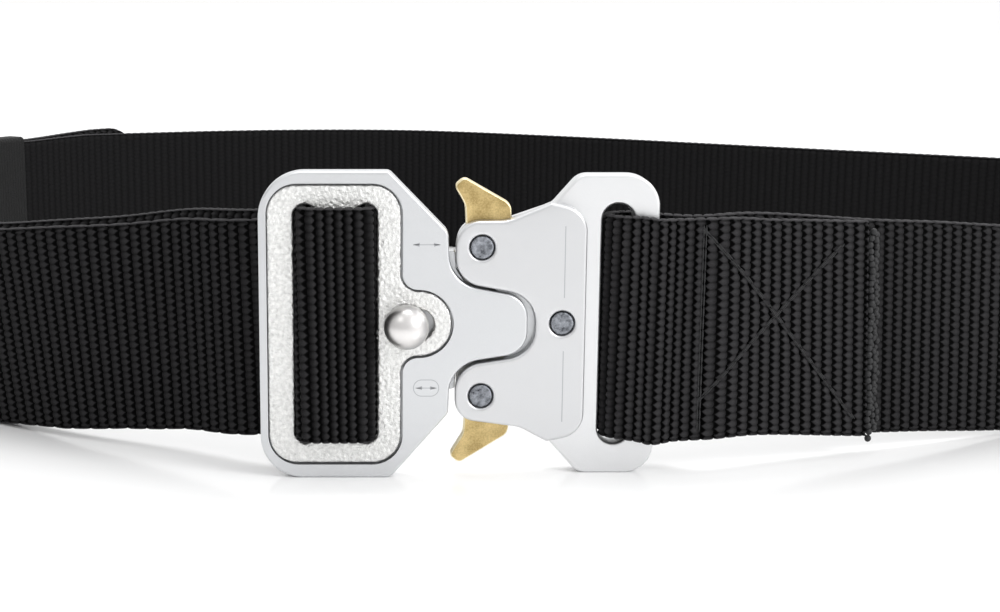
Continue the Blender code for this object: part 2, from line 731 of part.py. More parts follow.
def main():
    for item in list(bpy.data.objects):
        bpy.data.objects.remove(item)
    parts = bpy.data.collections.new("tactical_belt")
    cutters = bpy.data.collections.new("cutters")
    bpy.context.scene.collection.children.link(parts)
    bpy.context.scene.collection.children.link(cutters)

    loop = smooth_run(LOOP, STATION_SPACING)
    middle = extent_centre(loop)
    frame = bpy.data.objects.new("buckle_frame", None)
    parts.objects.link(frame)
    frame.location = (-middle[0] * MM, -middle[1] * MM, 0.0)

    silver = material("satin_silver", SILVER)
    cast = material("textured_silver", CAST_SILVER)
    steel = material("polished_steel", STEEL)
    rivet_steel = material("rivet_steel", RIVET_STEEL)
    brass = material("antique_brass", BRASS)
    nylon = material("black_nylon", NYLON)
    elastic = material("black_elastic", ELASTIC)

    finish_piece(webbing(parts, loop), nylon, frame)
    finish_piece(keeper(parts, loop), elastic, frame)
    finish_piece(male_plate(parts, cutters), silver, frame)
    finish_piece(insert_frame(parts), cast, frame)
    finish_piece(lock_stud(parts), steel, frame)
    finish_piece(female_base(parts, cutters), silver, frame)
    finish_piece(female_cover(parts, cutters), silver, frame)
    for place, centre in rivet_centres().items():
        finish_piece(rivet("rivet_" + place, parts, centre), rivet_steel, frame)
    finish_piece(lever("upper_lever", LEVER_OUTLINE, (LEVER_PIVOT_X, UPPER_PIVOT_Z), parts), brass, frame)
    lower_outline = mirrored(LEVER_OUTLINE[:2] + LONG_TIP + LEVER_OUTLINE[4:])
    finish_piece(lever("lower_lever", lower_outline, (LEVER_PIVOT_X, LOWER_PIVOT_Z), parts), brass, frame)
    for cutter in cutters.objects:
        cutter.parent = frame


main()
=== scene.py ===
"""Tactical belt, dressed: woven strap with stitched end, elastic keeper and metal buckle.

Sizes are millimetres in the buckle's frame: X to the right, Y away from the viewer with 0 on the
buckle's front face, Z up from the floor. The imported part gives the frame's place in the world.
"""

import math
from collections import namedtuple

import bmesh
import bpy
import numpy as np
from mathutils import Matrix, Vector


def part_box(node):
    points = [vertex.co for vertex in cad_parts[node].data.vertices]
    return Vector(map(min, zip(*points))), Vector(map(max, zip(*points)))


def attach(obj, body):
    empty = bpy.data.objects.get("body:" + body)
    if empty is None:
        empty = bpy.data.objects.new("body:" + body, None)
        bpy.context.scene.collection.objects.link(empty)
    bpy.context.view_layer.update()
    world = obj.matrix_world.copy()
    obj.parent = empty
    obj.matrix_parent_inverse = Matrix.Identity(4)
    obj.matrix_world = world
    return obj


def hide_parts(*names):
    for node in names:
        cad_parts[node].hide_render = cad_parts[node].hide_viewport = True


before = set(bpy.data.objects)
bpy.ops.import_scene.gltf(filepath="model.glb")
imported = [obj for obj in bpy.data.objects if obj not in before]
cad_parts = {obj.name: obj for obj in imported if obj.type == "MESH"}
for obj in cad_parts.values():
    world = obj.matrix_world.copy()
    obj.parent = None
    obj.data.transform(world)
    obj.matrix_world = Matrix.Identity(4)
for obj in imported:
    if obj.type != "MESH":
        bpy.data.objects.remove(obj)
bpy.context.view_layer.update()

MM = 0.001
PER_METRE = 1000.0
WELD = 1e-6
GAP = 0.35

Corner = namedtuple("Corner", "x z radius")
Row = namedtuple("Row", "x y bottom")
Lean = namedtuple("Lean", "along slope")
Run = namedtuple("Run", "start_x start_z end_x end_z")
Pitch = namedtuple("Pitch", "along size")
Swell = namedtuple("Swell", "along below above")

# Place of the buckle's frame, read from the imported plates
ORIGIN = Vector((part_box("male_plate")[0].x / MM + 47.6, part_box("female_cover")[0].y / MM, 0.0))

# Strap
STRAP_WIDTH = 45.0
STRAP_THICKNESS = 2.6
LAYER_PITCH = STRAP_THICKNESS + 0.3
RIB_PITCH = 2.55
KNOT_PITCH = 1.5
KNOT_LENGTH = 0.46
KNOT_WIDTH = 0.7
RIB_RELIEF = 0.85
SELVEDGE_RELIEF = 0.35
SELVEDGE = 0.35
SLIT = 0.8
SLIT_DEPTH = 0.85
SLIT_SIDE = 0.12
FACE_MARGIN = 0.1
TOOTH_LENGTH = 0.4
TOOTH_TAPER = 0.62
TOOTH_EDGE = 9.0
PATH_STEP = 0.25

# Depths of the buckle's layers
MALE_BACK = 4.6
RECESS_FLOOR = 2.45
INSERT_FRONT = 0.15
INSERT_BACK = 2.15
COVER_SKIN = 2.3
COVER_BACK = 3.3
LEVER_FRONT = 2.6
LEVER_BACK = 5.2
POCKET_BACK = 5.5
WING_FRONT = 3.6
BASE_BACK = 8.1

# Female half
POCKET_LEFT = -20.0
POCKET_RIGHT = 9.2
POCKET_BOTTOM = -8.0
POCKET_TOP = 72.0
SLOT_LEFT = 20.9
SLOT_RIGHT = 27.3
SLOT_BOTTOM = 6.2
SLOT_TOP = 55.5
FEMALE_STRAP_BOTTOM = 7.95
WRAP_LEFT = 22.3

# Male half
MALE_STRAP_BOTTOM = 8.6
MALE_WRAP_RADIUS = 2.2
MALE_TURN_IN = 3.0
MALE_LEG_SLACK = 1.4
WINDOW_LEFT = -40.6
WINDOW_RIGHT = -24.0
WINDOW_BOTTOM = 7.2
WINDOW_TOP = 55.8
BAR_LEFT = -36.2
BAR_RIGHT = -28.4
LOBE_X = -15.7
LOBE_Z = 31.8
LOBE_RADIUS = 6.6
INSERT_SHOULDER = -19.25
WINDOW_CLEARANCE = 0.3
RIM_RIGHT = -46.02
RIM_REACH = 4.0
RIM_BOTTOM = -5.0
RIM_TOP = 70.0
RIM_SLOPE = math.radians(16.0)
TONGUE_RIGHT = 8.5
TONGUE_TOP = 41.0
TONGUE_NECK_TOP = 42.6
TONGUE_SHELF_TOP = 46.3
TONGUE_SHELF_LEFT = -14.0
TONGUE_SHELF_RIGHT = -8.4
TONGUE_NECK_LEFT = -8.2

# Rivets and levers
LEVER_PIVOT_X = -3.2
UPPER_PIVOT_Z = 47.2
LOWER_PIVOT_Z = 17.0
CENTER_RIVET = (12.9, 31.9)
RIVET_RADIUS = 2.32
RIVET_HOLE_RADIUS = 2.45
RIVET_INSET = 0.12
RIVET_CHAMFER = 0.25
RIVET_DISH = 0.16
FLAT_ENOUGH = 0.96
JAW_RADIUS = 8.9
JAW_POCKET_RADIUS = JAW_RADIUS + GAP
SCOOP_END = -103.0
SCOOP_STEPS = 12

# Lock stud
STUD_X = -18.2
STUD_Z = 31.5
STUD_TRAVEL = 2.4
STUD_BALL_RADIUS = 4.5
STUD_BALL_DEPTH = -1.6
STUD_NECK_RADIUS = 2.85
STUD_FLANGE_RADIUS = 4.1
STUD_FLANGE_FRONT = 2.5
STUD_FLANGE_BACK = 3.4
STUD_POCKET_FRONT = 1.0
STUD_POCKET_FLOOR = 3.8
STUD_SEAT = INSERT_FRONT - 0.3

# Keeper loop
KEEPER_WALL = 1.2
KEEPER_LENGTH = 26.0
KEEPER_START = 304.0
KEEPER_LIFT = KEEPER_WALL + 0.45
KEEPER_TOP_SLACK = -0.75
KEEPER_SIDE_SLACK = 0.35
KEEPER_CORNER = 1.1
KEEPER_RIB_PITCH = 1.25
KEEPER_KNOT_PITCH = 0.95
KEEPER_ROWS = 40
KEEPER_SIDE_STEPS = 24

# Free end
TAIL_LENGTH = 386.0
TAIL_CORNER_RADIUS = 11.0
TAIL_STANDOFF = 5.5
TAIL_RISE = 1.3
TAIL_DROP = 0.35
TAIL_DROP_LENGTH = 150.0
TAIL_DROP_START = 12.0
TAIL_FIRST = 4.0

FOLD_BACK_LENGTH = 55.0
CUT_END = 2.0
FOLD_OPEN_LENGTH = 6.4
FOLD_CLOSE_LENGTH = 9.0

# Stretches of strap that are drawn knot by knot, measured from the buckle
FRONT_RIGHT_LENGTH = 108.0
FRONT_LEFT_LENGTH = 112.0
WINDOW_SPILL = 3.0
PLAIN_RELIEF = 0.4 * RIB_RELIEF
PLAIN_SELVEDGE_RELIEF = 0.12

# Marks on the plates: lines from point to point, and arrows by centre and half length
FINE_LINES = [((13.2, 37.1), (13.2, 51.5)), ((13.2, 11.7), (13.2, 26.3))]
FINE_LINE_WIDTH = 0.18
ARROWS = [((-14.2, 47.8), 2.7), ((-14.2, 18.7), 2.1)]
ARROW_LINE_WIDTH = 0.16
ARROW_HEAD_LENGTH = 1.28
ARROW_HEAD_WIDTH = 0.8
RING_HALF_WIDTH = 2.6
RING_HALF_HEIGHT = 1.75
RING_LINE_WIDTH = 0.15
RING_CORNER_SLACK = 0.05
MARK_FRONT = -0.006
MARK_BACK = 0.03

# Sewing: thread size, how far apart stitches start, and how deep they pull the weave in
THREAD_RADIUS = 0.19
STITCH_PITCH = 2.3
STITCH_LENGTH = 2.5
STITCH_SINK = 0.42
TWIN_GAP = 0.5
PULL_DEPTH = 0.55
PULL_WIDTH = 0.62

# Bar tack over the cut end: beads of thread in columns, each a step lower than the one before
TACK_COLUMNS = [Run(76.9, 43.4, 78.6, -0.7), Run(78.1, 43.0, 80.0, 1.4), Run(79.4, 42.6, 81.5, 1.8)]
TACK_OUT = (2.6, 1.7, 0.5)
TACK_RADIUS = 0.72
TACK_PITCH = 1.45
TACK_LENGTH = 1.5
TACK_JITTER = 0.45

ARC_STEP = math.radians(5.0)
CIRCLE_STEPS = 56
SHARP_EDGE = math.radians(50.0)
TOOL_REACH = 2.0
CORNER_SLACK = 0.01
EDGE_STEPS = 3
MALE_EDGE = 0.6
INSERT_EDGE = 0.5
COVER_EDGE = 0.7
BASE_EDGE = 0.6
LEVER_EDGE = 0.45
TONGUE_EDGE = 0.2
CUT_EDGE = 0.22

# Centre line of the strap's inner layer, from the female bar round the back to the male half
LOOP = [
    Row(27.2, 9.85, 7.95),
    Row(32.8, 9.85, 7.5),
    Row(36.8, 8.4, 7.3),
    Row(41.5, 6.5, 7.45),
    Row(48.5, 8.1, 7.65),
    Row(57.4, 11.7, 7.05),
    Row(80.2, 19.7, 4.6),
    Row(94.7, 25.0, 3.45),
    Row(108.7, 30.6, 2.0),
    Row(126.0, 38.6, 0.7),
    Row(151.0, 52.5, 0.0),
    Row(188.0, 80.0, 0.0),
    Row(213.0, 112.0, 0.0),
    Row(220.0, 147.0, 0.0),
    Row(207.0, 181.0, 0.0),
    Row(175.9, 207.0, 0.0),
    Row(119.5, 241.5, 0.0),
    Row(57.1, 281.0, 0.0),
    Row(22.0, 301.0, 0.0),
    Row(-11.7, 315.2, 0.0),
    Row(-39.6, 317.6, 0.0),
    Row(-80.0, 311.5, 0.0),
    Row(-117.5, 296.0, 0.2),
    Row(-150.1, 260.0, KEEPER_LIFT),
    Row(-171.0, 223.0, KEEPER_LIFT),
    Row(-183.0, 180.0, 0.0),
    Row(-182.5, 138.0, 0.0),
    Row(-168.0, 101.5, 0.0),
    Row(-141.0, 69.0, 0.0),
    Row(-107.6, 44.6, 0.8),
    Row(-93.0, 35.2, 2.8),
    Row(-76.1, 26.4, 4.8),
    Row(-62.4, 19.4, 6.9),
    Row(-54.5, 14.0, 7.4),
    Row(-47.8, 10.3, 7.8),
    Row(-42.0, 9.15, 8.3),
    Row(-38.0, 9.1, 8.6),
]

MALE_OUTLINE = [
    Corner(-47.6, 0.0, 8.5),
    Corner(-21.3, 0.0, 2.4),
    Corner(-9.7, 13.4, 2.2),
    Corner(-9.5, 23.4, 7.0),
    Corner(6.0, 25.9, 5.0),
    Corner(6.0, 37.1, 5.0),
    Corner(-9.5, 40.0, 7.0),
    Corner(-9.9, 50.3, 2.6),
    Corner(-21.6, 62.35, 1.6),
    Corner(-47.6, 62.35, 9.2),
]

MALE_WINDOW = [
    Corner(WINDOW_LEFT - WINDOW_CLEARANCE, WINDOW_BOTTOM - WINDOW_CLEARANCE, 1.5),
    Corner(WINDOW_RIGHT + WINDOW_CLEARANCE, WINDOW_BOTTOM - WINDOW_CLEARANCE, 1.5),
    Corner(WINDOW_RIGHT + WINDOW_CLEARANCE, WINDOW_TOP + WINDOW_CLEARANCE, 1.5),
    Corner(WINDOW_LEFT - WINDOW_CLEARANCE, WINDOW_TOP + WINDOW_CLEARANCE, 1.5),
]

INSERT_OUTLINE = [
    Corner(-45.9, 3.1, 5.8),
    Corner(INSERT_SHOULDER, 3.1, 5.8),
    Corner(INSERT_SHOULDER, LOBE_Z - LOBE_RADIUS, 3.4),
    Corner(LOBE_X + LOBE_RADIUS, LOBE_Z - LOBE_RADIUS, LOBE_RADIUS),
    Corner(LOBE_X + LOBE_RADIUS, LOBE_Z + LOBE_RADIUS, LOBE_RADIUS),
    Corner(INSERT_SHOULDER, LOBE_Z + LOBE_RADIUS, 3.4),
    Corner(INSERT_SHOULDER, 59.6, 5.8),
    Corner(-45.9, 59.6, 5.8),
]

COVER_OUTLINE = [
    Corner(-8.4, 12.2, 4.4),
    Corner(4.6, 10.5, 6.0),
    Corner(10.2, 7.5, 0.8),
    Corner(17.6, 9.0, 5.2),
    Corner(17.6, 54.4, 5.2),
    Corner(10.4, 56.1, 0.8),
    Corner(1.8, 52.5, 7.0),
    Corner(-8.4, 52.5, 4.9),
    Corner(-8.4, 40.2, 5.8),
    Corner(7.5, 37.3, 6.2),
    Corner(7.5, 25.5, 6.2),
    Corner(-8.4, 23.0, 5.8),
]

BASE_OUTLINE = [
    Corner(-8.0, 12.4, 4.2),
    Corner(4.6, 10.8, 6.0),
    Corner(9.8, 8.1, 3.0),
    Corner(17.0, 0.0, 3.4),
    Corner(32.35, 0.0, 5.8),
    Corner(32.35, 61.35, 6.6),
    Corner(16.2, 61.35, 3.8),
    Corner(11.0, 55.4, 3.0),
    Corner(1.8, 52.2, 7.0),
    Corner(-8.0, 52.2, 4.6),
]


def polar(radius, degrees):
    angle = math.radians(degrees)
    return radius * math.cos(angle), radius * math.sin(angle)


# Upper lever round its pivot; the lower lever is its mirror image with a longer thumb tip
LEVER_OUTLINE = [
    Corner(-3.1, 3.4, 2.0),
    Corner(-3.4, 8.4, 4.0),
    Corner(-5.55, 12.05, 1.1),
    Corner(-3.55, 13.75, 1.3),
    Corner(5.8, 8.4, 2.4),
    Corner(6.1, 2.0, 2.0),
    Corner(5.4, -2.5, 2.0),
    Corner(*polar(JAW_RADIUS, -38.0), 0.6),
    Corner(*polar(JAW_RADIUS, -58.0), 0.6),
    Corner(1.8, -4.3, 1.5),
    Corner(-4.3, -4.0, 3.6),
    Corner(-4.2, 1.0, 2.0),
]

LONG_TIP = [
    Corner(-6.2, 13.0, 1.1),
    Corner(-4.2, 14.7, 1.3),
]

# Stitch lines on the folded end, by X and by height above the strap's lower edge
SEWN_RUNS = [
    Run(41.3, 42.7, 75.3, 4.3),
    Run(70.7, 39.6, 41.2, 8.1),
    Run(41.3, 42.7, 41.3, 2.7),
]


def at(point):
    """World position in metres of a point in the buckle's frame, in millimetres."""
    return (Vector(point) + ORIGIN) * MM


# Node trees


class Number:
    """A value socket that takes Python arithmetic, adding Math nodes to its tree."""

    def __init__(self, tree, socket):
        self.tree = tree
        self.socket = socket

    def math(self, operation, *others):
        node = self.tree.nodes.new("ShaderNodeMath")
        node.operation = operation
        for slot, value in zip(node.inputs, (self, *others)):
            wire(self.tree, slot, value)
        return Number(self.tree, node.outputs[0])

    def flipped(self, operation, other):
        node = self.tree.nodes.new("ShaderNodeMath")
        node.operation = operation
        wire(self.tree, node.inputs[0], other)
        wire(self.tree, node.inputs[1], self)
        return Number(self.tree, node.outputs[0])

    def __add__(self, other):
        return self.math("ADD", other)

    def __radd__(self, other):
        return self.math("ADD", other)

    def __sub__(self, other):
        return self.math("SUBTRACT", other)

    def __rsub__(self, other):
        return self.flipped("SUBTRACT", other)

    def __mul__(self, other):
        return self.math("MULTIPLY", other)

    def __rmul__(self, other):
        return self.math("MULTIPLY", other)

    def __truediv__(self, other):
        return self.math("DIVIDE", other)

    def clamped(self):
        return self.math("MAXIMUM", 0.0).math("MINIMUM", 1.0)

    def fraction(self):
        return self.math("FRACT")

    def root(self):
        return self.math("MAXIMUM", 0.0).math("SQRT")


def wire(tree, slot, value):
    """Gives an input a socket's link or a plain value."""
    if isinstance(value, Number):
        tree.links.new(value.socket, slot)
    elif isinstance(value, bpy.types.NodeSocket):
        tree.links.new(value, slot)
    elif isinstance(value, tuple) and len(value) == 3 and slot.type == "RGBA":
        slot.default_value = (*value, 1.0)
    else:
        slot.default_value = value


class Tree:
    """Adds nodes to a tree: settings first, then the values or links of the inputs."""

    def __init__(self, tree):
        self.tree = tree

    def add(self, kind, settings=None, **inputs):
        node = self.tree.nodes.new(kind)
        for name, value in (settings or {}).items():
            setattr(node, name, value)
        for name, value in inputs.items():
            slot = node.inputs[int(name[1:])] if name[0] == "i" and name[1:].isdigit() \
                else node.inputs[name.replace("_", " ")]
            wire(self.tree, slot, value)
        return node

    def number(self, node, output=0):
        return Number(self.tree, node.outputs[output])

    def noise(self, vector, scale, detail=2.0, roughness=0.5):
        node = self.add("ShaderNodeTexNoise", Vector=vector, Scale=scale, Detail=detail,
                        Roughness=roughness)
        return self.number(node)

    def blend(self, factor, first, second):
        """Colour mixed from first to second by a factor."""
        node = self.tree.nodes.new("ShaderNodeMix")
        node.data_type = "RGBA"
        wire(self.tree, node.inputs[0], factor)
        wire(self.tree, node.inputs[6], first)
        wire(self.tree, node.inputs[7], second)
        return node.outputs[2]


def surface(name, **fixed):
    """A material with its Principled shader's plain values set, and the wrapper of its tree."""
    made = bpy.data.materials.new(name)
    made.use_nodes = True
    tree = Tree(made.node_tree)
    shader = made.node_tree.nodes["Principled BSDF"]
    for key, value in fixed.items():
        wire(made.node_tree, shader.inputs[key.replace("_", " ")], value)
    return made, tree, shader


def bump(tree, shader, height, distance):
    node = tree.add("ShaderNodeBump", Height=height, Distance=distance, Strength=1.0)
    tree.tree.links.new(node.outputs["Normal"], shader.inputs["Normal"])


def scaled(tone, factor):
    return tuple(c * factor for c in tone)


def finish(tree, shader, tone, roughness, height=None, depth=0.0):
    """Wires a material's colour and roughness, and the height of its small relief if it has one."""
    wire(tree.tree, shader.inputs["Base Color"], tone)
    wire(tree.tree, shader.inputs["Roughness"], roughness)
    if height is not None:
        bump(tree, shader, height, depth)


def woven_place(tree):
    """Distances along and across the strap in millimetres, from the weave's own coordinates."""
    place = tree.add("ShaderNodeUVMap", {"uv_map": "weave"})
    split = tree.add("ShaderNodeSeparateXYZ", Vector=place.outputs[0])
    return tree.number(split, "X") * PER_METRE, tree.number(split, "Y") * PER_METRE


def object_place(tree):
    return tree.add("ShaderNodeTexCoord").outputs["Object"]


def blasted_metal(name, dark, light, roughness, grain_depth):
    """Satin metal: fine blasted grain with slightly cloudy tone."""
    made, tree, shader = surface(name, Metallic=1.0)
    place = object_place(tree)
    cloud = tree.noise(place, 60.0, 3.0)
    speck = tree.noise(place, 3000.0, 2.0, 0.7)
    tone = (cloud * 0.6 + speck * 0.4).clamped()
    finish(tree, shader, tree.blend(tone, dark, light),
           speck * 0.12 + cloud * 0.08 + (roughness - 0.1), speck, grain_depth)
    return made


def wrinkled_metal(name, dark, light, roughness):
    """Cast skin of small worm-like wrinkles under a fine sparkle."""
    made, tree, shader = surface(name, Metallic=1.0)
    place = object_place(tree)
    folds = tree.noise(place, 1300.0, 4.0, 0.5)
    cells = tree.add("ShaderNodeTexVoronoi", {"feature": "SMOOTH_F1"}, Vector=place, Scale=1150.0,
                     Smoothness=0.6)
    speck = tree.noise(place, 5200.0, 1.0)
    height = folds * 0.7 + tree.number(cells, "Distance") * 0.5 + speck * 0.18
    tone = ((folds - 0.35) * 2.0 + 0.2).clamped()
    finish(tree, shader, tree.blend(tone, dark, light), speck * 0.14 + roughness, height, 0.0004)
    return made


def polished_metal(name, tone, roughness):
    """Bright metal with a little haze, and painted shade where its surface turns away."""
    made, tree, shader = surface(name, Metallic=1.0)
    place = object_place(tree)
    haze = tree.noise(place, 420.0, 3.0, 0.6)
    face = tree.blend(haze, tone, scaled(tone, 1.12))
    # painted shade: darker towards the rim as the surface turns away from the view
    away = tree.number(tree.add("ShaderNodeLayerWeight", Blend=0.45), "Facing")
    finish(tree, shader, tree.blend(away * away, face, scaled(tone, 0.6)), haze * 0.1 + roughness)
    return made


def rough_rivet(name, dark, light):
    """Blue-grey steel with fine pits."""
    made, tree, shader = surface(name, Metallic=1.0)
    place = object_place(tree)
    pits = ((tree.noise(place, 950.0, 4.0, 0.65) - 0.5) * 2.6 + 0.5).clamped()
    finish(tree, shader, tree.blend(pits, dark, light), pits * 0.35 + 0.25, pits, 0.00012)
    return made


def speckled_brass(name, dark, light, roughness):
    """Antique brass with fine dark specks that gather in clouds."""
    made, tree, shader = surface(name, Metallic=1.0)
    place = object_place(tree)
    speck = tree.noise(place, 2600.0, 3.0, 0.75)
    cloud = tree.noise(place, 240.0, 2.0)
    spots = ((speck - 0.5) * 2.0 + (cloud - 0.5) * 2.4 + 0.5).clamped()
    finish(tree, shader, tree.blend(spots, dark, light), speck * 0.2 + roughness, speck, 0.00005)
    return made


def knots(along, across, rib_pitch, knot_pitch):
    """Height from 0 to 1 of a weave whose ribs are rows of oval knots, each row half a knot off."""
    rib = along / rib_pitch
    odd = rib.math("FLOOR").math("MODULO", 2.0).math("ABSOLUTE")
    x = rib.fraction() - 0.5
    y = (across / knot_pitch + odd * 0.5).fraction() - 0.5
    return (1.0 - x * x / KNOT_LENGTH ** 2 - y * y / KNOT_WIDTH ** 2).root()


def teeth_painted_light(along, across, way):
    """Painted light from 0 to 1 on ribs whose yarns turn under in points, with painted shade in the holes.
    """
    rib = along / RIB_PITCH
    odd = rib.math("FLOOR").math("MODULO", 2.0).math("ABSOLUTE")
    x = (rib.fraction() - 0.5) * way
    y = (across / KNOT_PITCH + odd * 0.5).fraction() - 0.5
    tip = TOOTH_LENGTH - y.math("ABSOLUTE") * TOOTH_TAPER
    # painted light: each point is painted lighter towards its tip, on the side the light falls from
    lit = ((x + 0.5) * 1.05 + 0.12).clamped() * (1.0 - y * y * 1.6)
    return lit * (1.0 - ((x - tip) * TOOTH_EDGE).clamped())


def toothed_with_painted_light(tree, weave, tone, light, way):
    """Colour of ribs with painted light and shade; lit points run along the strap where way is 1, back
    where -1.
    """
    along, across, height, fibre = weave
    # painted shade darkens the low knots and the holes; light sets the strength of the painted light
    shade = (teeth_painted_light(along, across, way) * (height * 0.4 + 0.6) * (fibre * 1.8 + 0.2)).clamped()
    return tree.blend(shade, scaled(tone, 0.03), scaled(tone, light))


def woven(name, relief, tone, light, way):
    """Black yarn: painted shade between knots, a painted highlight on the selvedges; way 0 paints the inner
    face darker.
    """
    made, tree, shader = surface(name, Specular_IOR_Level=0.04)
    along, across = woven_place(tree)
    height = knots(along, across, RIB_PITCH, KNOT_PITCH)
    stretched = tree.add("ShaderNodeCombineXYZ", X=along * 1.6, Y=across * 9.0, Z=0.0)
    fibre = tree.noise(stretched.outputs[0], 1.0, 3.0, 0.6)
    dust = tree.noise(object_place(tree), 900.0, 2.0)
    weave = (along, across, height, fibre)
    if way:
        face = toothed_with_painted_light(tree, weave, tone, light, way)
    else:
        # painted shade: darker where the knots are low, and the inner face darker than the outer, as shade
        # inside the loop
        shade = (height * 0.8 + fibre * 0.4 - 0.1).clamped()
        inner = tree.blend(shade, scaled(tone, 0.3), scaled(tone, light))
        outer = toothed_with_painted_light(tree, weave, tone, OUTER_FACE_PAINTED_LIGHT, -1.0)
        outside = tree.number(tree.add("ShaderNodeAttribute", {"attribute_name": "outside"}), "Fac")
        face = tree.blend(outside, inner, outer)
    # painted highlight: the selvedges, which face up to the light, are painted lighter
    rim = across.math("GREATER_THAN", STRAP_WIDTH - SELVEDGE) + across.math("LESS_THAN", SELVEDGE)
    finish(tree, shader, tree.blend(rim * fibre, face, scaled(tone, 3.5)),
           fibre * 0.25 + dust * 0.1 + 0.4, height * relief + fibre * 0.1, 0.001)
    return made


def elastic(name, tone):
    """Dark elastic of small knots in fine ribs."""
    made, tree, shader = surface(name, Specular_IOR_Level=0.3)
    along, across = woven_place(tree)
    height = knots(along, across, KEEPER_RIB_PITCH, KEEPER_KNOT_PITCH)
    fibre = tree.noise(object_place(tree), 2400.0, 2.0)
    # painted shade: darker where the knots are low
    shade = (height * 0.8 + fibre * 0.3).clamped()
    finish(tree, shader, tree.blend(shade, scaled(tone, 0.3), tone), fibre * 0.2 + 0.6,
           height * 0.22 + fibre * 0.08, 0.001)
    return made


def thread(name, tone):
    """Twisted sewing thread."""
    made, tree, shader = surface(name, Specular_IOR_Level=0.25)
    twist = tree.noise(object_place(tree), 3200.0, 2.0)
    finish(tree, shader, tree.blend(twist, scaled(tone, 0.6), scaled(tone, 1.5)), twist * 0.2 + 0.38,
           twist, 0.0001)
    return made


SILVER = blasted_metal("satin_silver", (0.61, 0.62, 0.635), (0.70, 0.71, 0.72), 0.42, 0.00003)
COVER_SILVER = blasted_metal("satin_silver_cover", (0.62, 0.625, 0.635), (0.67, 0.675, 0.685), 0.4,
                             0.00002)
# painted light: the female base gets a lighter copy of the satin silver, for light thrown up from the floor
BASE_SILVER_PAINTED_LIGHT = blasted_metal("satin_silver_base_painted_light", (0.73, 0.735, 0.745), (0.79, 0.795, 0.80), 0.4,
                              0.00002)
CAST_SILVER = wrinkled_metal("textured_silver", (0.62, 0.62, 0.61), (0.90, 0.90, 0.885), 0.32)
STEEL = polished_metal("polished_steel", (0.7, 0.685, 0.675), 0.28)
RIVET_STEEL = rough_rivet("rivet_steel", (0.07, 0.075, 0.085), (0.42, 0.44, 0.48))
BRASS = speckled_brass("antique_brass", (0.38, 0.275, 0.11), (0.70, 0.54, 0.26), 0.3)
# painted highlight: a paler copy of the brass for the levers' rounded rims
BRASS_RIM_PAINTED_HIGHLIGHT = speckled_brass("antique_brass_rim_painted_highlight", (0.78, 0.66, 0.4), (0.92, 0.83, 0.58), 0.28)
NYLON_TONE = (0.021, 0.0205, 0.0215)
# one black nylon in lit and shaded copies: each stretch of strap gets painted light of its own strength
OUTER_FACE_PAINTED_LIGHT = 1.65
SEWN_NYLON_PAINTED_LIGHT = woven("black_nylon_sewn_painted_light", 0.0, NYLON_TONE, 2.1, 1.0)
FRONT_NYLON_PAINTED_LIGHT = woven("black_nylon_front_painted_light", 0.0, NYLON_TONE, 1.65, -1.0)
TAIL_NYLON_PAINTED_LIGHT = woven("black_nylon_tail_painted_light", 0.0, NYLON_TONE, 1.3, -1.0)
PLAIN_NYLON = woven("black_nylon", 0.25, NYLON_TONE, 0.5, 0.0)
ELASTIC = elastic("black_elastic", (0.005, 0.005, 0.0053))
THREAD = thread("black_thread", (0.024, 0.024, 0.025))
ETCHED = blasted_metal("etched_line", (0.42, 0.43, 0.45), (0.5, 0.51, 0.53), 0.6, 0.00002)


# Outlines


def heading(start, end):
    return (Vector(end) - Vector(start)).normalized()


def rounded(corners):
    """Closed outline whose corners are rounded with arcs."""
    points = []
    for i, corner in enumerate(corners):
        here = Vector((corner.x, corner.z))
        if corner.radius == 0.0:
            points.append((corner.x, corner.z))
            continue
        before = heading(here, corners[i - 1][:2])
        after = heading(here, corners[(i + 1) % len(corners)][:2])
        half_angle = before.angle(after) / 2
        centre = here + (before + after).normalized() * corner.radius / math.sin(half_angle)
        cut = corner.radius / math.tan(half_angle)
        first = here + before * cut - centre
        last = here + after * cut - centre
        turn = first.angle_signed(last)
        steps = max(1, math.ceil(abs(turn) / ARC_STEP))
        start = math.atan2(first.y, first.x)
        for step in range(steps + 1):
            angle = start - turn * step / steps
            points.append((centre.x + corner.radius * math.cos(angle),
                           centre.y + corner.radius * math.sin(angle)))
    return points


def grown(corners, amount):
    """The same outline, run anticlockwise, moved outward by amount."""
    result = []
    for i, corner in enumerate(corners):
        here = Vector((corner.x, corner.z))
        incoming = heading(corners[i - 1][:2], here)
        outgoing = heading(here, corners[(i + 1) % len(corners)][:2])
        out_in = Vector((incoming.y, -incoming.x))
        out_out = Vector((outgoing.y, -outgoing.x))
        mitre = (out_in + out_out).normalized()
        here = here + mitre * amount / mitre.dot(out_out)
        convex = incoming.cross(outgoing) > 0
        result.append(Corner(here.x, here.y, corner.radius + (amount if convex else -amount)))
    return result


def circle(x, z, radius):
    turns = [2 * math.pi * i / CIRCLE_STEPS for i in range(CIRCLE_STEPS)]
    return [(x + radius * math.cos(turn), z + radius * math.sin(turn)) for turn in turns]


def stadium(left, right, bottom, top, radius):
    return rounded([Corner(left, bottom, radius), Corner(right, bottom, radius),
                    Corner(right, top, radius), Corner(left, top, radius)])


def round_ended(left, right, bottom, top):
    """Slot whose short ends are as good as half circles."""
    return stadium(left, right, bottom, top, min(right - left, top - bottom) / 2 - CORNER_SLACK)


def stud_slot(radius):
    """Slot round the lock stud's travel, with the shared gap."""
    reach = radius + GAP
    return round_ended(STUD_X - reach, STUD_X + STUD_TRAVEL + reach, STUD_Z - reach, STUD_Z + reach)


def mirrored(corners):
    """The outline turned upside down, still anticlockwise."""
    return [Corner(c.x, -c.z, c.radius) for c in reversed(corners)]


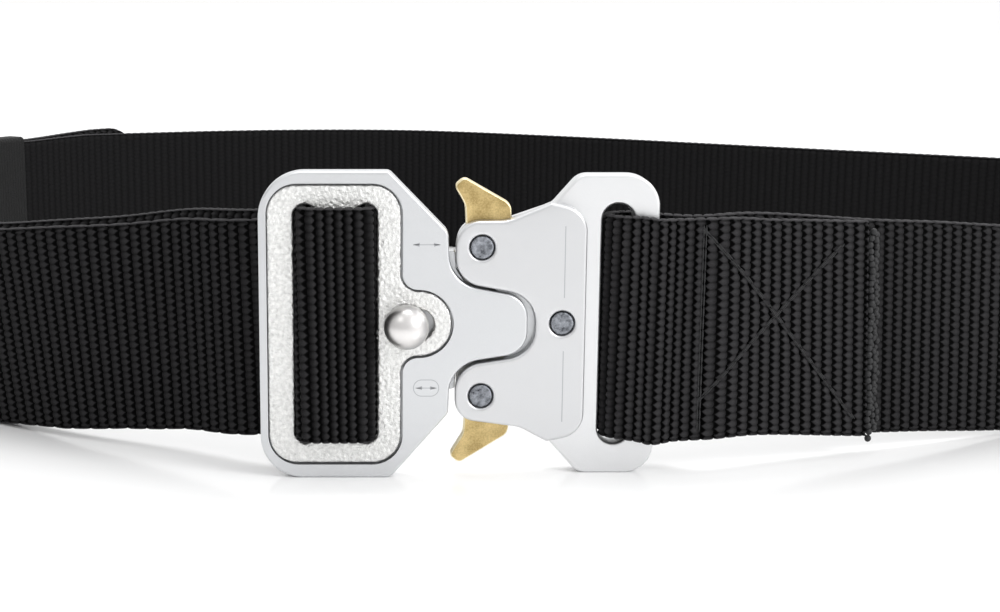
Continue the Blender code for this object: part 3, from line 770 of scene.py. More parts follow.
def tongue_outline():
    """Latch tongue behind the boss: each flank is scooped on an arc about its lever's pivot."""
    middle = (UPPER_PIVOT_Z + LOWER_PIVOT_Z) / 2
    first = -math.degrees(math.asin((UPPER_PIVOT_Z - TONGUE_TOP) / JAW_POCKET_RADIUS))
    upper = [Corner(TONGUE_RIGHT, TONGUE_TOP, 1.2)]
    for degrees in np.linspace(first, SCOOP_END, SCOOP_STEPS):
        x, z = polar(JAW_POCKET_RADIUS, degrees)
        upper.append(Corner(LEVER_PIVOT_X + x, UPPER_PIVOT_Z + z, 0.0))
    upper += [Corner(TONGUE_NECK_LEFT, TONGUE_NECK_TOP, 0.0),
              Corner(TONGUE_SHELF_RIGHT, TONGUE_SHELF_TOP, 0.6),
              Corner(TONGUE_SHELF_LEFT, TONGUE_SHELF_TOP, 0.0)]
    lower = [Corner(c.x, 2 * middle - c.z, c.radius) for c in reversed(upper)]
    return upper + lower


# Metal pieces


def link(name, mesh):
    made = bpy.data.objects.new(name, mesh)
    bpy.context.scene.collection.objects.link(made)
    return made


def applied(piece):
    """The object's mesh with its modifiers and place worked in."""
    bpy.context.view_layer.update()
    evaluated = piece.evaluated_get(bpy.context.evaluated_depsgraph_get())
    mesh = bpy.data.meshes.new_from_object(evaluated)
    mesh.transform(piece.matrix_world)
    return mesh


def settle_modifiers(piece):
    """Leaves the piece with the plain mesh that its modifiers give."""
    mesh = applied(piece)
    piece.modifiers.clear()
    piece.data = mesh


def tidy(mesh):
    work = bmesh.new()
    work.from_mesh(mesh)
    bmesh.ops.remove_doubles(work, verts=work.verts, dist=WELD)
    bmesh.ops.recalc_face_normals(work, faces=work.faces)
    work.to_mesh(mesh)
    work.free()


def plate(name, outlines, front, back, rounding, at_x=0.0, at_z=0.0):
    """Flat plate between two depths; the first outline is its edge and the others are holes."""
    curve = bpy.data.curves.new(name, "CURVE")
    curve.dimensions = "2D"
    curve.fill_mode = "BOTH"
    curve.extrude = ((back - front) / 2 - rounding) * MM
    curve.bevel_depth = rounding * MM
    curve.bevel_resolution = EDGE_STEPS if rounding else 0
    curve.offset = -rounding * MM
    for outline in outlines:
        spline = curve.splines.new("POLY")
        spline.points.add(len(outline) - 1)
        for point, (x, z) in zip(spline.points, outline):
            point.co = (x * MM, z * MM, 0.0, 1.0)
        spline.use_cyclic_u = True
    drawn = link(name + "_drawn", curve)
    drawn.rotation_euler = (math.pi / 2, 0.0, 0.0)
    drawn.location = at((at_x, (front + back) / 2, at_z))
    mesh = applied(drawn)
    bpy.data.objects.remove(drawn)
    tidy(mesh)
    return link(name, mesh)


def combine(target, tools, operation):
    for tool in tools:
        boolean = target.modifiers.new(operation.title(), "BOOLEAN")
        boolean.operation = operation
        boolean.solver = "EXACT"
        boolean.object = tool


def soften(target, width):
    bevel = target.modifiers.new("Edge", "BEVEL")
    bevel.width = width * MM
    bevel.segments = 3
    bevel.limit_method = "ANGLE"
    bevel.angle_limit = SHARP_EDGE
    bevel.use_clamp_overlap = True
    bevel.harden_normals = True


def dress(piece, material):
    piece.data.materials.clear()
    piece.data.materials.append(material)


def metal(piece, material, body, node, tools=()):
    """Finishes a metal piece: modifiers worked in, smooth shading that keeps flats flat."""
    weighted = piece.modifiers.new("Flats", "WEIGHTED_NORMAL")
    weighted.keep_sharp = True
    weighted.weight = 100
    piece.data.shade_smooth()
    settle_modifiers(piece)
    for tool in tools:
        bpy.data.objects.remove(tool)
    dress(piece, material)
    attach(piece, body)
    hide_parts(node)


def turned(name, profile, centre, steps):
    """Solid of revolution about a line along Y: profile rows are (radius, depth), axis to axis."""
    mesh = bpy.data.meshes.new(name)
    work = bmesh.new()
    verts = [work.verts.new((radius * MM, 0.0, -depth * MM)) for radius, depth in profile]
    for first, second in zip(verts, verts[1:]):
        work.edges.new((first, second))
    work.to_mesh(mesh)
    work.free()
    piece = link(name, mesh)
    piece.rotation_euler = (math.pi / 2, 0.0, 0.0)
    piece.location = at((centre[0], 0.0, centre[1]))
    screw = piece.modifiers.new("Turn", "SCREW")
    screw.steps = steps
    screw.render_steps = steps
    screw.use_merge_vertices = True
    screw.merge_threshold = WELD
    screw.use_normal_calculate = True
    mesh = applied(piece)
    bpy.data.objects.remove(piece)
    tidy(mesh)
    return link(name, mesh)


def pocket_box(name, front, back):
    bpy.ops.mesh.primitive_cube_add(size=1.0)
    box = bpy.context.object
    box.name = name
    low = at((POCKET_LEFT, front, POCKET_BOTTOM))
    high = at((POCKET_RIGHT, back, POCKET_TOP))
    box.scale = high - low
    box.location = (low + high) / 2
    return box


def build_male_plate():
    """Plate with a recess for the insert and a left rim that slopes back from the recess's edge."""
    piece = plate("male_half", [rounded(MALE_OUTLINE)], 0.0, MALE_BACK, MALE_EDGE)
    tongue = plate("tool_tongue", [rounded(tongue_outline())], LEVER_FRONT, LEVER_BACK, TONGUE_EDGE)
    window = plate("tool_window", [rounded(MALE_WINDOW)], -TOOL_REACH, MALE_BACK + TOOL_REACH, 0.0)
    seat = [corner._replace(x=max(corner.x, RIM_RIGHT)) for corner in grown(INSERT_OUTLINE, GAP)]
    recess = plate("tool_recess", [rounded(seat)], -TOOL_REACH, RECESS_FLOOR, 0.0)
    rim = [(-RIM_REACH, RIM_BOTTOM), (0.0, RIM_BOTTOM), (0.0, RIM_TOP), (-RIM_REACH, RIM_TOP)]
    slope = plate("tool_slope", [rim], -RIM_REACH, 0.0, 0.0)
    slope.data.transform(Matrix.Translation(-at((0.0, 0.0, 0.0))))
    slope.data.transform(Matrix.Rotation(-RIM_SLOPE, 4, "Z"))
    slope.data.transform(Matrix.Translation(at((RIM_RIGHT, 0.0, 0.0))))
    pocket = plate("tool_pocket", [stud_slot(STUD_FLANGE_RADIUS)], STUD_POCKET_FRONT,
                   STUD_POCKET_FLOOR, 0.0)
    combine(piece, [tongue], "UNION")
    combine(piece, [slope, window, recess, pocket], "DIFFERENCE")
    soften(piece, CUT_EDGE)
    metal(piece, SILVER, "belt", "male_plate", [tongue, slope, window, recess, pocket])


def build_insert():
    """Cast frame with a slot for the strap on each side of its bar, and the stud's slot in its lobe."""
    left = round_ended(WINDOW_LEFT, BAR_LEFT, WINDOW_BOTTOM, WINDOW_TOP)
    right = round_ended(BAR_RIGHT, WINDOW_RIGHT, WINDOW_BOTTOM, WINDOW_TOP)
    outlines = [rounded(INSERT_OUTLINE), left, right, stud_slot(STUD_NECK_RADIUS)]
    piece = plate("insert", outlines, INSERT_FRONT, INSERT_BACK, INSERT_EDGE)
    metal(piece, CAST_SILVER, "belt", "insert_frame")


def build_stud():
    """Ball-headed stud with a neck through the insert and a flange in the pocket behind it."""
    opening = math.acos((STUD_SEAT - STUD_BALL_DEPTH) / STUD_BALL_RADIUS)
    profile = [(0.0, STUD_BALL_DEPTH - STUD_BALL_RADIUS)]
    for angle in np.linspace(math.pi, opening, 33)[1:]:
        profile.append((STUD_BALL_RADIUS * math.sin(angle),
                        STUD_BALL_DEPTH + STUD_BALL_RADIUS * math.cos(angle)))
    profile += [(STUD_NECK_RADIUS, STUD_SEAT), (STUD_NECK_RADIUS, STUD_FLANGE_FRONT),
                (STUD_FLANGE_RADIUS, STUD_FLANGE_FRONT), (STUD_FLANGE_RADIUS, STUD_FLANGE_BACK),
                (0.0, STUD_FLANGE_BACK)]
    piece = turned("stud", profile, (STUD_X, STUD_Z), 72)
    piece.data.shade_smooth()
    piece.data.set_sharp_from_angle(angle=math.radians(40))
    metal(piece, STEEL, "lock_stud", "lock_stud")


def rivet_centres():
    return {"upper": (LEVER_PIVOT_X, UPPER_PIVOT_Z), "lower": (LEVER_PIVOT_X, LOWER_PIVOT_Z),
            "center": CENTER_RIVET}


def rivet_holes():
    return [circle(x, z, RIVET_HOLE_RADIUS) for x, z in rivet_centres().values()]


def build_rivets():
    """Pins with a lightly dished, hammered front."""
    for place, centre in rivet_centres().items():
        edge = RIVET_RADIUS - RIVET_CHAMFER
        profile = [(0.0, RIVET_INSET + RIVET_DISH), (edge * 0.45, RIVET_INSET + RIVET_DISH * 0.7),
                   (edge * 0.8, RIVET_INSET + RIVET_DISH * 0.15), (edge, RIVET_INSET),
                   (RIVET_RADIUS, RIVET_INSET + RIVET_CHAMFER), (RIVET_RADIUS, BASE_BACK - RIVET_CHAMFER),
                   (edge, BASE_BACK), (0.0, BASE_BACK)]
        metal(turned("rivet_pin_" + place, profile, centre, 48), RIVET_STEEL, "belt", "rivet_" + place)


def build_female():
    """Cover and base, each with its half of the pocket that the latch tongue and levers lie in."""
    cover = plate("cover", [rounded(COVER_OUTLINE)] + rivet_holes(), 0.0, COVER_BACK, COVER_EDGE)
    cut = pocket_box("tool_cover", COVER_SKIN, COVER_BACK + 1.0)
    combine(cover, [cut], "DIFFERENCE")
    metal(cover, COVER_SILVER, "belt", "female_cover", [cut])
    slot = round_ended(SLOT_LEFT, SLOT_RIGHT, SLOT_BOTTOM, SLOT_TOP)
    base = plate("base", [rounded(BASE_OUTLINE), slot] + rivet_holes(), WING_FRONT, BASE_BACK, BASE_EDGE)
    cut = pocket_box("tool_base", WING_FRONT - 1.0, POCKET_BACK)
    combine(base, [cut], "DIFFERENCE")
    metal(base, BASE_SILVER_PAINTED_LIGHT, "belt", "female_base", [cut])


def build_lever(name, corners, pivot_z):
    """Lever whose rounded rim is painted paler than its speckled faces, a painted highlight."""
    hole = circle(0.0, 0.0, RIVET_HOLE_RADIUS)
    piece = plate(name + "_arm", [rounded(corners), hole], LEVER_FRONT, LEVER_BACK, LEVER_EDGE,
                  LEVER_PIVOT_X, pivot_z)
    metal(piece, BRASS, name, name)
    # painted highlight: faces that don't face front or back get the paler brass
    piece.data.materials.append(BRASS_RIM_PAINTED_HIGHLIGHT)
    for face in piece.data.polygons:
        face.material_index = 0 if abs(face.normal.y) > FLAT_ENOUGH else 1


def bar_outline(start, end, width):
    """Thin rectangle from one point to another, each given by X and Z."""
    along = (Vector(end) - Vector(start)).normalized()
    side = Vector((-along.y, along.x)) * width / 2
    return [tuple(Vector(start) - side), tuple(Vector(end) - side), tuple(Vector(end) + side),
            tuple(Vector(start) + side)]


def arrow_outlines(centre, half):
    """A plain line with an arrow head at each end."""
    x, z = centre
    outlines = [bar_outline((x - half, z), (x + half, z), ARROW_LINE_WIDTH)]
    for way in (-1, 1):
        tip = x + way * half
        back = tip - way * ARROW_HEAD_LENGTH
        outlines.append([(tip, z), (back, z + ARROW_HEAD_WIDTH / 2), (back, z - ARROW_HEAD_WIDTH / 2)])
    return outlines


def etched_lines():
    """Shallow plain marks in the plates' faces: two fine lines, and two double arrows, one in a ring."""
    marks = [[bar_outline(start, end, FINE_LINE_WIDTH)] for start, end in FINE_LINES]
    for centre, half in ARROWS:
        marks += [[outline] for outline in arrow_outlines(centre, half)]
    x, z = ARROWS[1][0]
    ring = []
    for inset in (0.0, RING_LINE_WIDTH):
        half_width = RING_HALF_WIDTH - inset
        half_height = RING_HALF_HEIGHT - inset
        ring.append(stadium(x - half_width, x + half_width, z - half_height, z + half_height,
                            half_height - RING_CORNER_SLACK))
    marks.append(ring)
    for number, outlines in enumerate(marks):
        piece = plate("line_%d" % number, outlines, MARK_FRONT, MARK_BACK, 0.0)
        piece.data.materials.append(ETCHED)
        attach(piece, "belt")


# Strap


def smooth_run(rows, spacing):
    """Stations at an even spacing on a natural cubic spline through the rows."""
    rows = np.array(rows, float)
    chord = run_length(rows)
    step = np.diff(chord)
    count = len(rows)
    system = np.eye(count)
    right = np.zeros_like(rows)
    for i in range(1, count - 1):
        system[i, i - 1:i + 2] = step[i - 1], 2 * (step[i - 1] + step[i]), step[i]
        right[i] = 6 * ((rows[i + 1] - rows[i]) / step[i] - (rows[i] - rows[i - 1]) / step[i - 1])
    bend = np.linalg.solve(system, right)
    distance = np.linspace(0.0, chord[-1], round(chord[-1] / spacing) + 1)
    i = np.clip(np.searchsorted(chord, distance) - 1, 0, count - 2)
    size = step[i][:, None]
    after = (distance - chord[i])[:, None]
    before = size - after
    stations = ((bend[i] * before ** 3 + bend[i + 1] * after ** 3) / (6 * size)
                + (rows[i] / size - bend[i] * size / 6) * before
                + (rows[i + 1] / size - bend[i + 1] * size / 6) * after)
    stations[:, 2] = np.maximum(stations[:, 2], 0.0)
    return stations


def run_length(stations):
    """Distance in plan from the start of a run to each of its stations."""
    return np.concatenate([[0.0], np.cumsum(np.linalg.norm(np.diff(stations[:, :2], axis=0), axis=1))])


def sampled(distance, along, values):
    """Columns of values, known at the distances along, read off at other distances."""
    return np.column_stack([np.interp(distance, along, column) for column in values.T])


def outward(stations):
    """Unit normals of a run in plan, pointing to the right of its direction."""
    along = np.gradient(stations[:, :2], axis=0)
    along /= np.linalg.norm(along, axis=1)[:, None]
    return np.column_stack([along[:, 1], -along[:, 0]])


def offset_run(stations, distance):
    moved = stations.copy()
    moved[:, :2] += outward(stations) * np.reshape(distance, (-1, 1))
    return moved


def sweep(centre, radii, start, end, bottom, steps=24):
    angles = np.radians(np.linspace(start, end, steps + 1))
    return np.column_stack([centre[0] + radii[0] * np.cos(angles), centre[1] + radii[1] * np.sin(angles),
                            np.full(steps + 1, bottom)])


def ease(value):
    value = np.clip(value, 0.0, 1.0)
    return value * value * (3 - 2 * value)


def wrap_height():
    front = WING_FRONT - GAP - STRAP_THICKNESS / 2
    return (LOOP[0].y - front) / 2


def fold_back(loop):
    length = run_length(loop)
    part = loop[length <= FOLD_BACK_LENGTH]
    along = length[:len(part)]
    wide = 2 * wrap_height()
    closing = ease((along - FOLD_OPEN_LENGTH) / FOLD_CLOSE_LENGTH)
    return offset_run(part, LAYER_PITCH + (wide - LAYER_PITCH) * (1 - closing))[::-1]


def female_wrap():
    centre = (LOOP[0].x, LOOP[0].y - wrap_height())
    arc = sweep(centre, (centre[0] - WRAP_LEFT, wrap_height()), 270.0, 90.0, FEMALE_STRAP_BOTTOM, 40)
    return arc[1:-1]


def male_wrap():
    """From the inner layer, forward through the right slot, over the bar and back through the left."""
    reach = GAP + STRAP_THICKNESS / 2
    radius = MALE_WRAP_RADIUS
    right = BAR_RIGHT + reach + MALE_LEG_SLACK
    left = BAR_LEFT - reach - MALE_LEG_SLACK
    front = INSERT_FRONT - reach
    inner = LOOP[-1].y
    outer = inner - LAYER_PITCH

    def turn(x, y, size, start, end):
        return sweep((x, y), (size, size), start, end, MALE_STRAP_BOTTOM)

    return np.vstack([
        turn(right - MALE_TURN_IN, inner - MALE_TURN_IN, MALE_TURN_IN, 90.0, 0.0),
        turn(right - radius, front + radius, radius, 0.0, -90.0),
        turn(left + radius, front + radius, radius, 270.0, 180.0),
        turn(left - radius, outer - radius, radius, 0.0, 90.0),
    ])


def tail(loop):
    """The free end: outside the loop, from the male half round to the back left."""
    back = loop[::-1]
    length = run_length(back)
    along = np.append(length[(length > TAIL_FIRST) & (length < TAIL_LENGTH)], TAIL_LENGTH)
    base = sampled(along, length, back)
    keeper_end = KEEPER_START + KEEPER_LENGTH
    free = ease((along - keeper_end) / (TAIL_LENGTH - keeper_end))
    moved = offset_run(base[::-1], LAYER_PITCH + TAIL_STANDOFF * free[::-1])[::-1]
    drop = TAIL_DROP * ease(along / TAIL_DROP_START) * (1 - ease(along / TAIL_DROP_LENGTH))
    moved[:, 2] = np.maximum(moved[:, 2] - drop, 0.0) + TAIL_RISE * free
    return moved


def settled(path, passes=6):
    """The path resampled at an even step, with the small kinks between its runs eased."""
    keep = np.concatenate([[True], np.linalg.norm(np.diff(path[:, :2], axis=0), axis=1) > 1e-4])
    path = path[keep]
    length = run_length(path)
    even = np.arange(0.0, length[-1], PATH_STEP)
    path = sampled(even, length, path)
    for _ in range(passes):
        path[1:-1] = (path[:-2] + 2 * path[1:-1] + path[2:]) / 4
    return path


loop = smooth_run(LOOP, 0.5)
runs = [fold_back(loop), female_wrap(), loop, male_wrap(), tail(loop)]
marks = np.cumsum([run_length(run)[-1] for run in runs])
strap_path = settled(np.vstack(runs))
strap_along = run_length(strap_path)
strap_side = outward(strap_path)
STRAP_LENGTH = strap_along[-1]
FOLD_END = marks[0]
LOOP_START = marks[1]
LOOP_END = marks[2]
TAIL_START = STRAP_LENGTH - run_length(runs[4])[-1]


# Rib pitch along the strap: close where it bends round the bars, wider on the long runs
RIB_PITCHES = [
    Pitch(0.0, 2.55),
    Pitch(FOLD_END - 15.0, 2.5),
    Pitch(FOLD_END - 9.0, 1.97),
    Pitch(FOLD_END, 1.8),
    Pitch(LOOP_START, 1.8),
    Pitch(LOOP_START + 30.0, 2.45),
    Pitch(LOOP_START + 68.0, 2.45),
    Pitch(LOOP_START + 85.0, 2.73),
    Pitch(LOOP_START + 420.0, 2.5),
    Pitch(LOOP_START + 640.0, 2.8),
    Pitch(LOOP_END - 60.0, 2.6),
    Pitch(LOOP_END - 4.0, 1.86),
    Pitch(TAIL_START + 2.0, 1.86),
    Pitch(TAIL_START + 8.0, 2.42),
    Pitch(TAIL_START + 20.0, 2.47),
    Pitch(TAIL_START + 38.0, 2.58),
    Pitch(TAIL_START + 55.0, 2.7),
    Pitch(TAIL_START + 75.0, 2.88),
    Pitch(STRAP_LENGTH, 2.8),
]

# How far the ribs lean: positive where their tops are further along the strap
RIB_LEANS = [
    Lean(2.0, 0.052),
    Lean(14.0, 0.049),
    Lean(30.0, 0.026),
    Lean(FOLD_END - 3.0, -0.01),
    Lean(LOOP_START + 40.0, -0.045),
    Lean(LOOP_START + 110.0, -0.052),
    Lean(LOOP_START + 220.0, 0.0),
    Lean(LOOP_END, 0.0),
    Lean(TAIL_START + 14.0, 0.042),
    Lean(TAIL_START + 25.0, 0.054),
    Lean(TAIL_START + 38.0, 0.072),
    Lean(TAIL_START + 52.0, 0.112),
    Lean(TAIL_START + 67.0, 0.161),
    Lean(TAIL_START + 80.0, 0.19),
    Lean(TAIL_START + 110.0, 0.19),
    Lean(TAIL_START + 220.0, 0.0),
]

# How far the woven edges stand past the strap's even width, as pressed and pulled here and there
SWELLS = [
    Swell(CUT_END, 0.4, 0.6),
    Swell(22.0, 0.4, -0.3),
    Swell(26.0, 0.4, -0.4),
    Swell(36.0, 0.4, 0.2),
    Swell(FOLD_END - 8.0, 0.55, 0.3),
    Swell(FOLD_END - 3.0, 1.2, 0.3),
    Swell(FOLD_END + 2.0, 0.4, 0.3),
    Swell(LOOP_START + 45.0, 0.4, 0.7),
    Swell(LOOP_START + 110.0, 0.3, 0.7),
    Swell(LOOP_START + 300.0, 0.0, -0.3),
    Swell(LOOP_START + 560.0, 0.0, -0.2),
    Swell(LOOP_END - 360.0, 0.0, 0.1),
    Swell(LOOP_END - 335.0, 0.0, -1.2),
    Swell(LOOP_END - 300.0, 0.0, -1.2),
    Swell(LOOP_END - 270.0, 0.0, 0.2),
    Swell(LOOP_END - 60.0, 0.0, 0.4),
    Swell(LOOP_END - 8.0, 0.0, 0.9),
    Swell(LOOP_END + 4.0, 0.9, 1.8),
    Swell(TAIL_START - 6.0, 0.9, 1.8),
    Swell(TAIL_START + 4.0, 0.3, -0.4),
    Swell(TAIL_START + 16.0, 0.85, -0.7),
    Swell(TAIL_START + 33.0, 0.95, -0.7),
    Swell(TAIL_START + 43.0, 0.5, -0.6),
    Swell(TAIL_START + 60.0, 0.95, -0.6),
    Swell(TAIL_START + 75.0, 0.3, -0.5),
    Swell(TAIL_START + 110.0, 0.2, 0.0),
    Swell(TAIL_START + 270.0, 0.0, 0.2),
    Swell(TAIL_START + 300.0, 0.0, -1.2),
    Swell(TAIL_START + 326.0, 0.0, -1.2),
    Swell(TAIL_START + 345.0, 0.0, -0.7),
    Swell(TAIL_START + 372.0, 0.0, 0.3),
]



def table_at(rows, distance):
    """Each column of a table after its first, read off at distances along the strap."""
    along, *columns = zip(*rows)
    return [np.interp(distance, along, column) for column in columns]


local_pitch = table_at(RIB_PITCHES, strap_along)[0]
strap_ribs = np.concatenate([[0.0], np.cumsum(np.diff(strap_along) / local_pitch[1:])])


def along_strap(distance):
    """Middle of the strap's thickness at its lower edge, and the unit normal to its right."""
    place = sampled(distance, strap_along, strap_path)
    side = sampled(distance, strap_along, strap_side)
    return place, side / np.linalg.norm(side, axis=1)[:, None]


def section(knot_samples):
    """Round the strap's section: how far across, how far out, and whether it is the selvedge."""
    half = STRAP_THICKNESS / 2
    count = round(STRAP_WIDTH / KNOT_PITCH * knot_samples)
    face = np.linspace(SLIT + FACE_MARGIN, STRAP_WIDTH - SLIT - FACE_MARGIN, count)
    turn = np.radians(np.linspace(80.0, -80.0, 6))
    top = np.column_stack([STRAP_WIDTH - SELVEDGE + SELVEDGE * np.cos(turn), half * 0.8 * np.sin(turn)])
    slit = (STRAP_WIDTH - SLIT + SLIT_SIDE, half - SLIT_DEPTH)
    rows = [(a, half, 0.0) for a in face]
    rows += [(slit[0], slit[1], 1.0), *((a, d, 1.0) for a, d in top), (slit[0], -slit[1], 1.0)]
    rows += [(a, -half, 0.0) for a in face[::-1]]
    rows += [(STRAP_WIDTH - a, -d, e) for a, d, e in rows[count:count + 8]]
    return np.array(rows)


def pull_at(x, across, away, distance):
    """How strongly the stitches pull in the outer face of the folded end, from 0 to 1."""
    nearest = np.full(len(x), np.inf)
    for run in SEWN_RUNS:
        start = np.array([run.start_x, run.start_z])
        reach = np.array([run.end_x, run.end_z]) - start
        offset = np.column_stack([x, across]) - start
        share = np.clip(offset @ reach / (reach @ reach), 0.0, 1.0)
        nearest = np.minimum(nearest, np.linalg.norm(offset - share[:, None] * reach, axis=1))
    return np.exp(-(nearest / PULL_WIDTH) ** 2) * (away < 0) * (distance < FOLD_END)


def band(name, start, end, rib_samples, knot_samples):
    """A closed length of strap as a grid that follows the ribs, with its weave's coordinates."""
    ring = section(knot_samples)
    first, last = (round(np.interp(place, strap_along, strap_ribs) * rib_samples) for place in (start, end))
    ribs = np.arange(first, last + 1) / rib_samples
    if end >= STRAP_LENGTH:
        ribs = np.append(ribs[ribs < strap_ribs[-1]], strap_ribs[-1])
    n, m = len(ribs), len(ring)
    distance = np.repeat(np.interp(ribs, strap_ribs, strap_along), m)
    woven_along = np.repeat(ribs, m) * RIB_PITCH
    across = np.tile(ring[:, 0], n)
    away = np.tile(ring[:, 1], n)
    edge = np.tile(ring[:, 2], n)
    near = np.clip(TAIL_CORNER_RADIUS - (STRAP_LENGTH - distance), 0.0, TAIL_CORNER_RADIUS)
    inset = TAIL_CORNER_RADIUS - np.sqrt(TAIL_CORNER_RADIUS ** 2 - near ** 2)
    across = inset + across / STRAP_WIDTH * (STRAP_WIDTH - 2 * inset)
    shifted = distance + table_at(RIB_LEANS, distance)[0] * (across - STRAP_WIDTH / 2)
    place, side = along_strap(np.clip(shifted, 0.0, STRAP_LENGTH))
    below, above = table_at(SWELLS, distance)
    below = np.minimum(below, place[:, 2])
    height = place[:, 2] - below + across * (STRAP_WIDTH + below + above) / STRAP_WIDTH
    verts = np.column_stack([place[:, :2] + side * away[:, None], height])
    pull = pull_at(verts[:, 0], across, away, distance)
    verts = (verts + np.array(ORIGIN)) * MM
    i, j = np.meshgrid(np.arange(n - 1), np.arange(m), indexing="ij")
    following = (j + 1) % m
    quads = np.stack([i * m + j, i * m + following, (i + 1) * m + following, (i + 1) * m + j], -1)
    faces = quads.reshape(-1, 4).tolist()
    faces += [list(range(m))[::-1], list(range((n - 1) * m, n * m))]
    mesh = bpy.data.meshes.new(name)
    mesh.from_pydata(verts.tolist(), [], faces)
    outside = (away > 0).astype(float)
    for key, values in (("along", woven_along), ("across", across), ("edge", edge), ("pull", pull),
                        ("outside", outside)):
        mesh.attributes.new(key, "FLOAT", "POINT").data.foreach_set("value", values)
    corner = np.empty(len(mesh.loops), int)
    mesh.loops.foreach_get("vertex_index", corner)
    uv = np.column_stack([woven_along[corner], across[corner]]) * MM
    mesh.uv_layers.new(name="weave").data.foreach_set("uv", uv.ravel())
    mesh.shade_smooth()
    for face in mesh.polygons[-2:]:
        face.use_smooth = False
    turn_out(mesh)
    return link(name, mesh)


def turn_out(mesh):
    """Turns the faces of a closed mesh outwards."""
    work = bmesh.new()
    work.from_mesh(mesh)
    bmesh.ops.recalc_face_normals(work, faces=work.faces)
    if work.calc_volume(signed=True) < 0:
        bmesh.ops.reverse_faces(work, faces=work.faces)
    work.to_mesh(mesh)
    work.free()


def group(name, sizes):
    """An empty geometry tree with a geometry input and named sizes."""
    made = bpy.data.node_groups.new(name, "GeometryNodeTree")
    made.interface.new_socket("Geometry", in_out="INPUT", socket_type="NodeSocketGeometry")
    identifiers = {}
    for label, value in sizes.items():
        socket = made.interface.new_socket(label, in_out="INPUT", socket_type="NodeSocketFloat")
        socket.default_value = value
        identifiers[label] = socket.identifier
    made.interface.new_socket("Geometry", in_out="OUTPUT", socket_type="NodeSocketGeometry")
    tree = Tree(made)
    entry = tree.add("NodeGroupInput")
    return made, tree, entry, identifiers


def field(tree, name):
    node = tree.add("GeometryNodeInputNamedAttribute", {"data_type": "FLOAT"}, Name=name)
    return tree.number(node, "Attribute")


def weave_tree():
    """Raises knots on a strap's faces and long floats on its selvedges, and sinks sewn lines."""
    sizes = {"Rib Pitch": RIB_PITCH, "Knot Pitch": KNOT_PITCH, "Relief": RIB_RELIEF * MM,
             "Selvedge Relief": SELVEDGE_RELIEF * MM, "Float Ribs": 1.0, "Pull Depth": PULL_DEPTH * MM}
    made, tree, entry, identifiers = group("woven_relief", sizes)
    rib_pitch = tree.number(entry, "Rib Pitch")
    knot_pitch = tree.number(entry, "Knot Pitch")
    along = field(tree, "along") + 0.001
    across = field(tree, "across")
    edge = field(tree, "edge")
    height = knots(along, across, rib_pitch, knot_pitch)
    place = tree.add("ShaderNodeCombineXYZ", X=along * 0.7, Y=across * 0.7, Z=0.0)
    uneven = tree.noise(place.outputs[0], 1.0, 2.0) - 0.5
    face = (height * (uneven * 0.4 + 1.0) - 0.9) * tree.number(entry, "Relief")
    x = (along / (rib_pitch * tree.number(entry, "Float Ribs"))).fraction() - 0.5
    steep = x * x * 4.0
    rim = (0.15 - steep * steep * steep) * tree.number(entry, "Selvedge Relief")
    pulled = field(tree, "pull") * tree.number(entry, "Pull Depth")
    lift = face * (1.0 - edge) + rim * edge - pulled
    normal = tree.add("GeometryNodeInputNormal")
    offset = tree.add("ShaderNodeVectorMath", {"operation": "SCALE"}, i0=normal.outputs[0], Scale=lift)
    moved = tree.add("GeometryNodeSetPosition", Geometry=entry.outputs["Geometry"],
                     Offset=offset.outputs[0])
    tree.add("NodeGroupOutput", Geometry=moved.outputs[0])
    return made, identifiers


def through(piece, made, values, identifiers):
    """Runs a geometry tree on a piece and keeps the plain mesh it gives."""
    modifier = piece.modifiers.new("Nodes", "NODES")
    modifier.node_group = made
    for label, value in values.items():
        modifier[identifiers[label]] = value
    settle_modifiers(piece)


def build_strap():
    """Fine pieces near the buckle, drawn knot by knot, and plainer ones behind it."""
    weave, identifiers = weave_tree()
    window_end = TAIL_START + WINDOW_SPILL
    front_start = LOOP_START + FRONT_RIGHT_LENGTH
    front_end = TAIL_START + FRONT_LEFT_LENGTH
    fine = {}
    long_floats = {"Float Ribs": 2.0}
    plain = {"Relief": PLAIN_RELIEF * MM, "Selvedge Relief": PLAIN_SELVEDGE_RELIEF * MM}
    # each stretch gets its own copy of the nylon, painted lighter or darker for how the light falls on it
    looks = {"strap_sewn_end": SEWN_NYLON_PAINTED_LIGHT, "strap_front_right": FRONT_NYLON_PAINTED_LIGHT,
             "strap_window_wrap": TAIL_NYLON_PAINTED_LIGHT, "strap_front_left": TAIL_NYLON_PAINTED_LIGHT, "strap_tail": TAIL_NYLON_PAINTED_LIGHT}
    pieces = [
        ("strap_sewn_end", CUT_END, LOOP_START, 8, 5, fine),
        ("strap_front_right", LOOP_START, front_start, 6, 5, fine),
        ("strap_back", front_start, LOOP_END, 3, 1, plain),
        ("strap_window_wrap", LOOP_END, window_end, 8, 5, fine),
        ("strap_front_left", window_end, front_end, 6, 5, long_floats),
        ("strap_tail", front_end, STRAP_LENGTH, 4, 1, plain),
    ]
    for name, start, end, rib_samples, knot_samples, values in pieces:
        piece = band(name, start, end, rib_samples, knot_samples)
        through(piece, weave, values, identifiers)
        dress(piece, looks.get(name, PLAIN_NYLON))
        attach(piece, "belt")
        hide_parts("webbing")


def strap_point(distance, across, out):
    """Point at a distance along the strap, a height above its lower edge and a way to its right."""
    place, side = along_strap(np.atleast_1d(distance))
    return Vector((place[0, 0] + side[0, 0] * out, place[0, 1] + side[0, 1] * out, place[0, 2] + across))


def on_fold(x, across):
    """Point in the sewn grooves of the folded end, by its X."""
    sewn = strap_along <= FOLD_END
    distance = np.interp(x, strap_path[sewn, 0][::-1], strap_along[sewn][::-1])
    return strap_point(distance, across, STITCH_SINK - STRAP_THICKNESS / 2)


